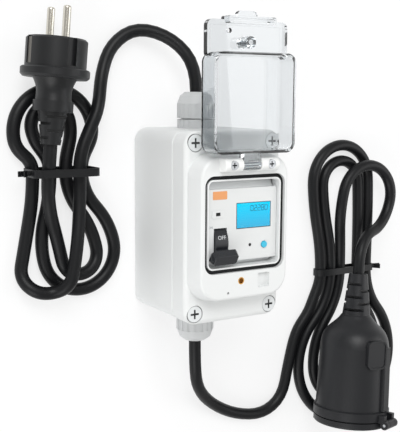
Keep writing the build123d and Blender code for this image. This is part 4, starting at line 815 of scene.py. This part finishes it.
# The place in the list of each outline's first corner.
inner_low, outer_low, inner_high, outer_high = 0, 4, 8, 12
faces = []
for k in range(4):
    n = (k + 1) % 4
    faces.append((inner_high + k, outer_high + k, outer_high + n, inner_high + n))
    faces.append((inner_low + k, inner_low + n, outer_low + n, outer_low + k))
    faces.append((outer_low + k, outer_low + n, outer_high + n, outer_high + k))
    faces.append((inner_low + k, inner_high + k, inner_high + n, inner_low + n))
ring_mesh = bpy.data.meshes.new("display edge shade")
ring_mesh.from_pydata(corners, [], faces)
# The ring is painted shade, drawn in the dark lamp plastic.
ring_mesh.materials.append(lamp_plastic)
ring = add_object("display_edge_shade", ring_mesh)
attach(ring, "box")
print("border faces", len(faces))

# %% [markdown]
# ## Floor and light
# The photo is a cut-out on white. A plain white floor carries a faint shadow. Lit alone it would grey
# out towards its edges, so part of what the camera sees of it, straight, reflected or through the
# clear lid, is its own even glow. The lamps are large and soft, as in a studio, at a level where
# colours render about as they are written.

# %% Floor
floor_reach = 3.0
floor_z = -0.2 * mm
glow_share = 0.72
floor_mesh = bpy.data.meshes.new("floor")
floor_corners = [
    (-floor_reach, -floor_reach, floor_z),
    (floor_reach, -floor_reach, floor_z),
    (floor_reach, floor_reach, floor_z),
    (-floor_reach, floor_reach, floor_z),
]
floor_mesh.from_pydata(floor_corners, [], [(0, 1, 2, 3)])
floor = add_object("floor", floor_mesh)

floor_paper = new_material("matt white paper", "#F6F7F8", roughness=0.9)
tree = floor_paper.node_tree
path = add_node(tree, "ShaderNodeLightPath")
seen = add_node(
    tree,
    "ShaderNodeMath",
    links={0: path.outputs["Is Camera Ray"], 1: path.outputs["Is Glossy Ray"]},
    operation="MAXIMUM",
)
seen_or_through = add_node(
    tree,
    "ShaderNodeMath",
    links={0: seen.outputs["Value"], 1: path.outputs["Is Transmission Ray"]},
    operation="MAXIMUM",
)
share = add_node(
    tree, "ShaderNodeMath", {1: glow_share}, {0: seen_or_through.outputs["Value"]}, operation="MULTIPLY"
)
glow = add_node(tree, "ShaderNodeEmission")
mix = add_node(
    tree,
    "ShaderNodeMixShader",
    links={
        "Fac": share.outputs["Value"],
        1: shader_of(floor_paper).outputs["BSDF"],
        2: glow.outputs["Emission"],
    },
)
tree.links.new(mix.outputs["Shader"], tree.nodes["Material Output"].inputs["Surface"])
floor_mesh.materials.append(floor_paper)
print("floor is", 2 * floor_reach, "m wide")

# %% Lamps and sky
lamp_aim = Vector((0.0, 0.0, 0.03))
sky_strength = 0.55


def soft_lamp(name, stands_at, width, power):
    """A square area lamp that looks at the box, its width in metres and its power in watts."""
    data = bpy.data.lights.new(name, "AREA")
    data.shape = "SQUARE"
    data.size = width
    data.energy = power
    lamp = add_object(name, data)
    lamp.location = stands_at
    lamp.rotation_euler = (lamp_aim - Vector(stands_at)).to_track_quat("-Z", "Y").to_euler()


soft_lamp("key", (-0.5, 0.9, 1.1), width=0.8, power=12.5)
soft_lamp("fill", (1.1, 0.1, 0.9), width=1.0, power=5.5)
soft_lamp("low", (-0.9, -0.9, 0.7), width=0.9, power=7.0)
world = bpy.data.worlds.new("studio")
bpy.context.scene.world = world
world.use_nodes = True
sky = world.node_tree.nodes["Background"]
sky.inputs["Color"].default_value = linear("#F6F5F3")
sky.inputs["Strength"].default_value = sky_strength
bpy.context.scene.view_settings.view_transform = "Standard"
print("lamps", len(bpy.data.lights))
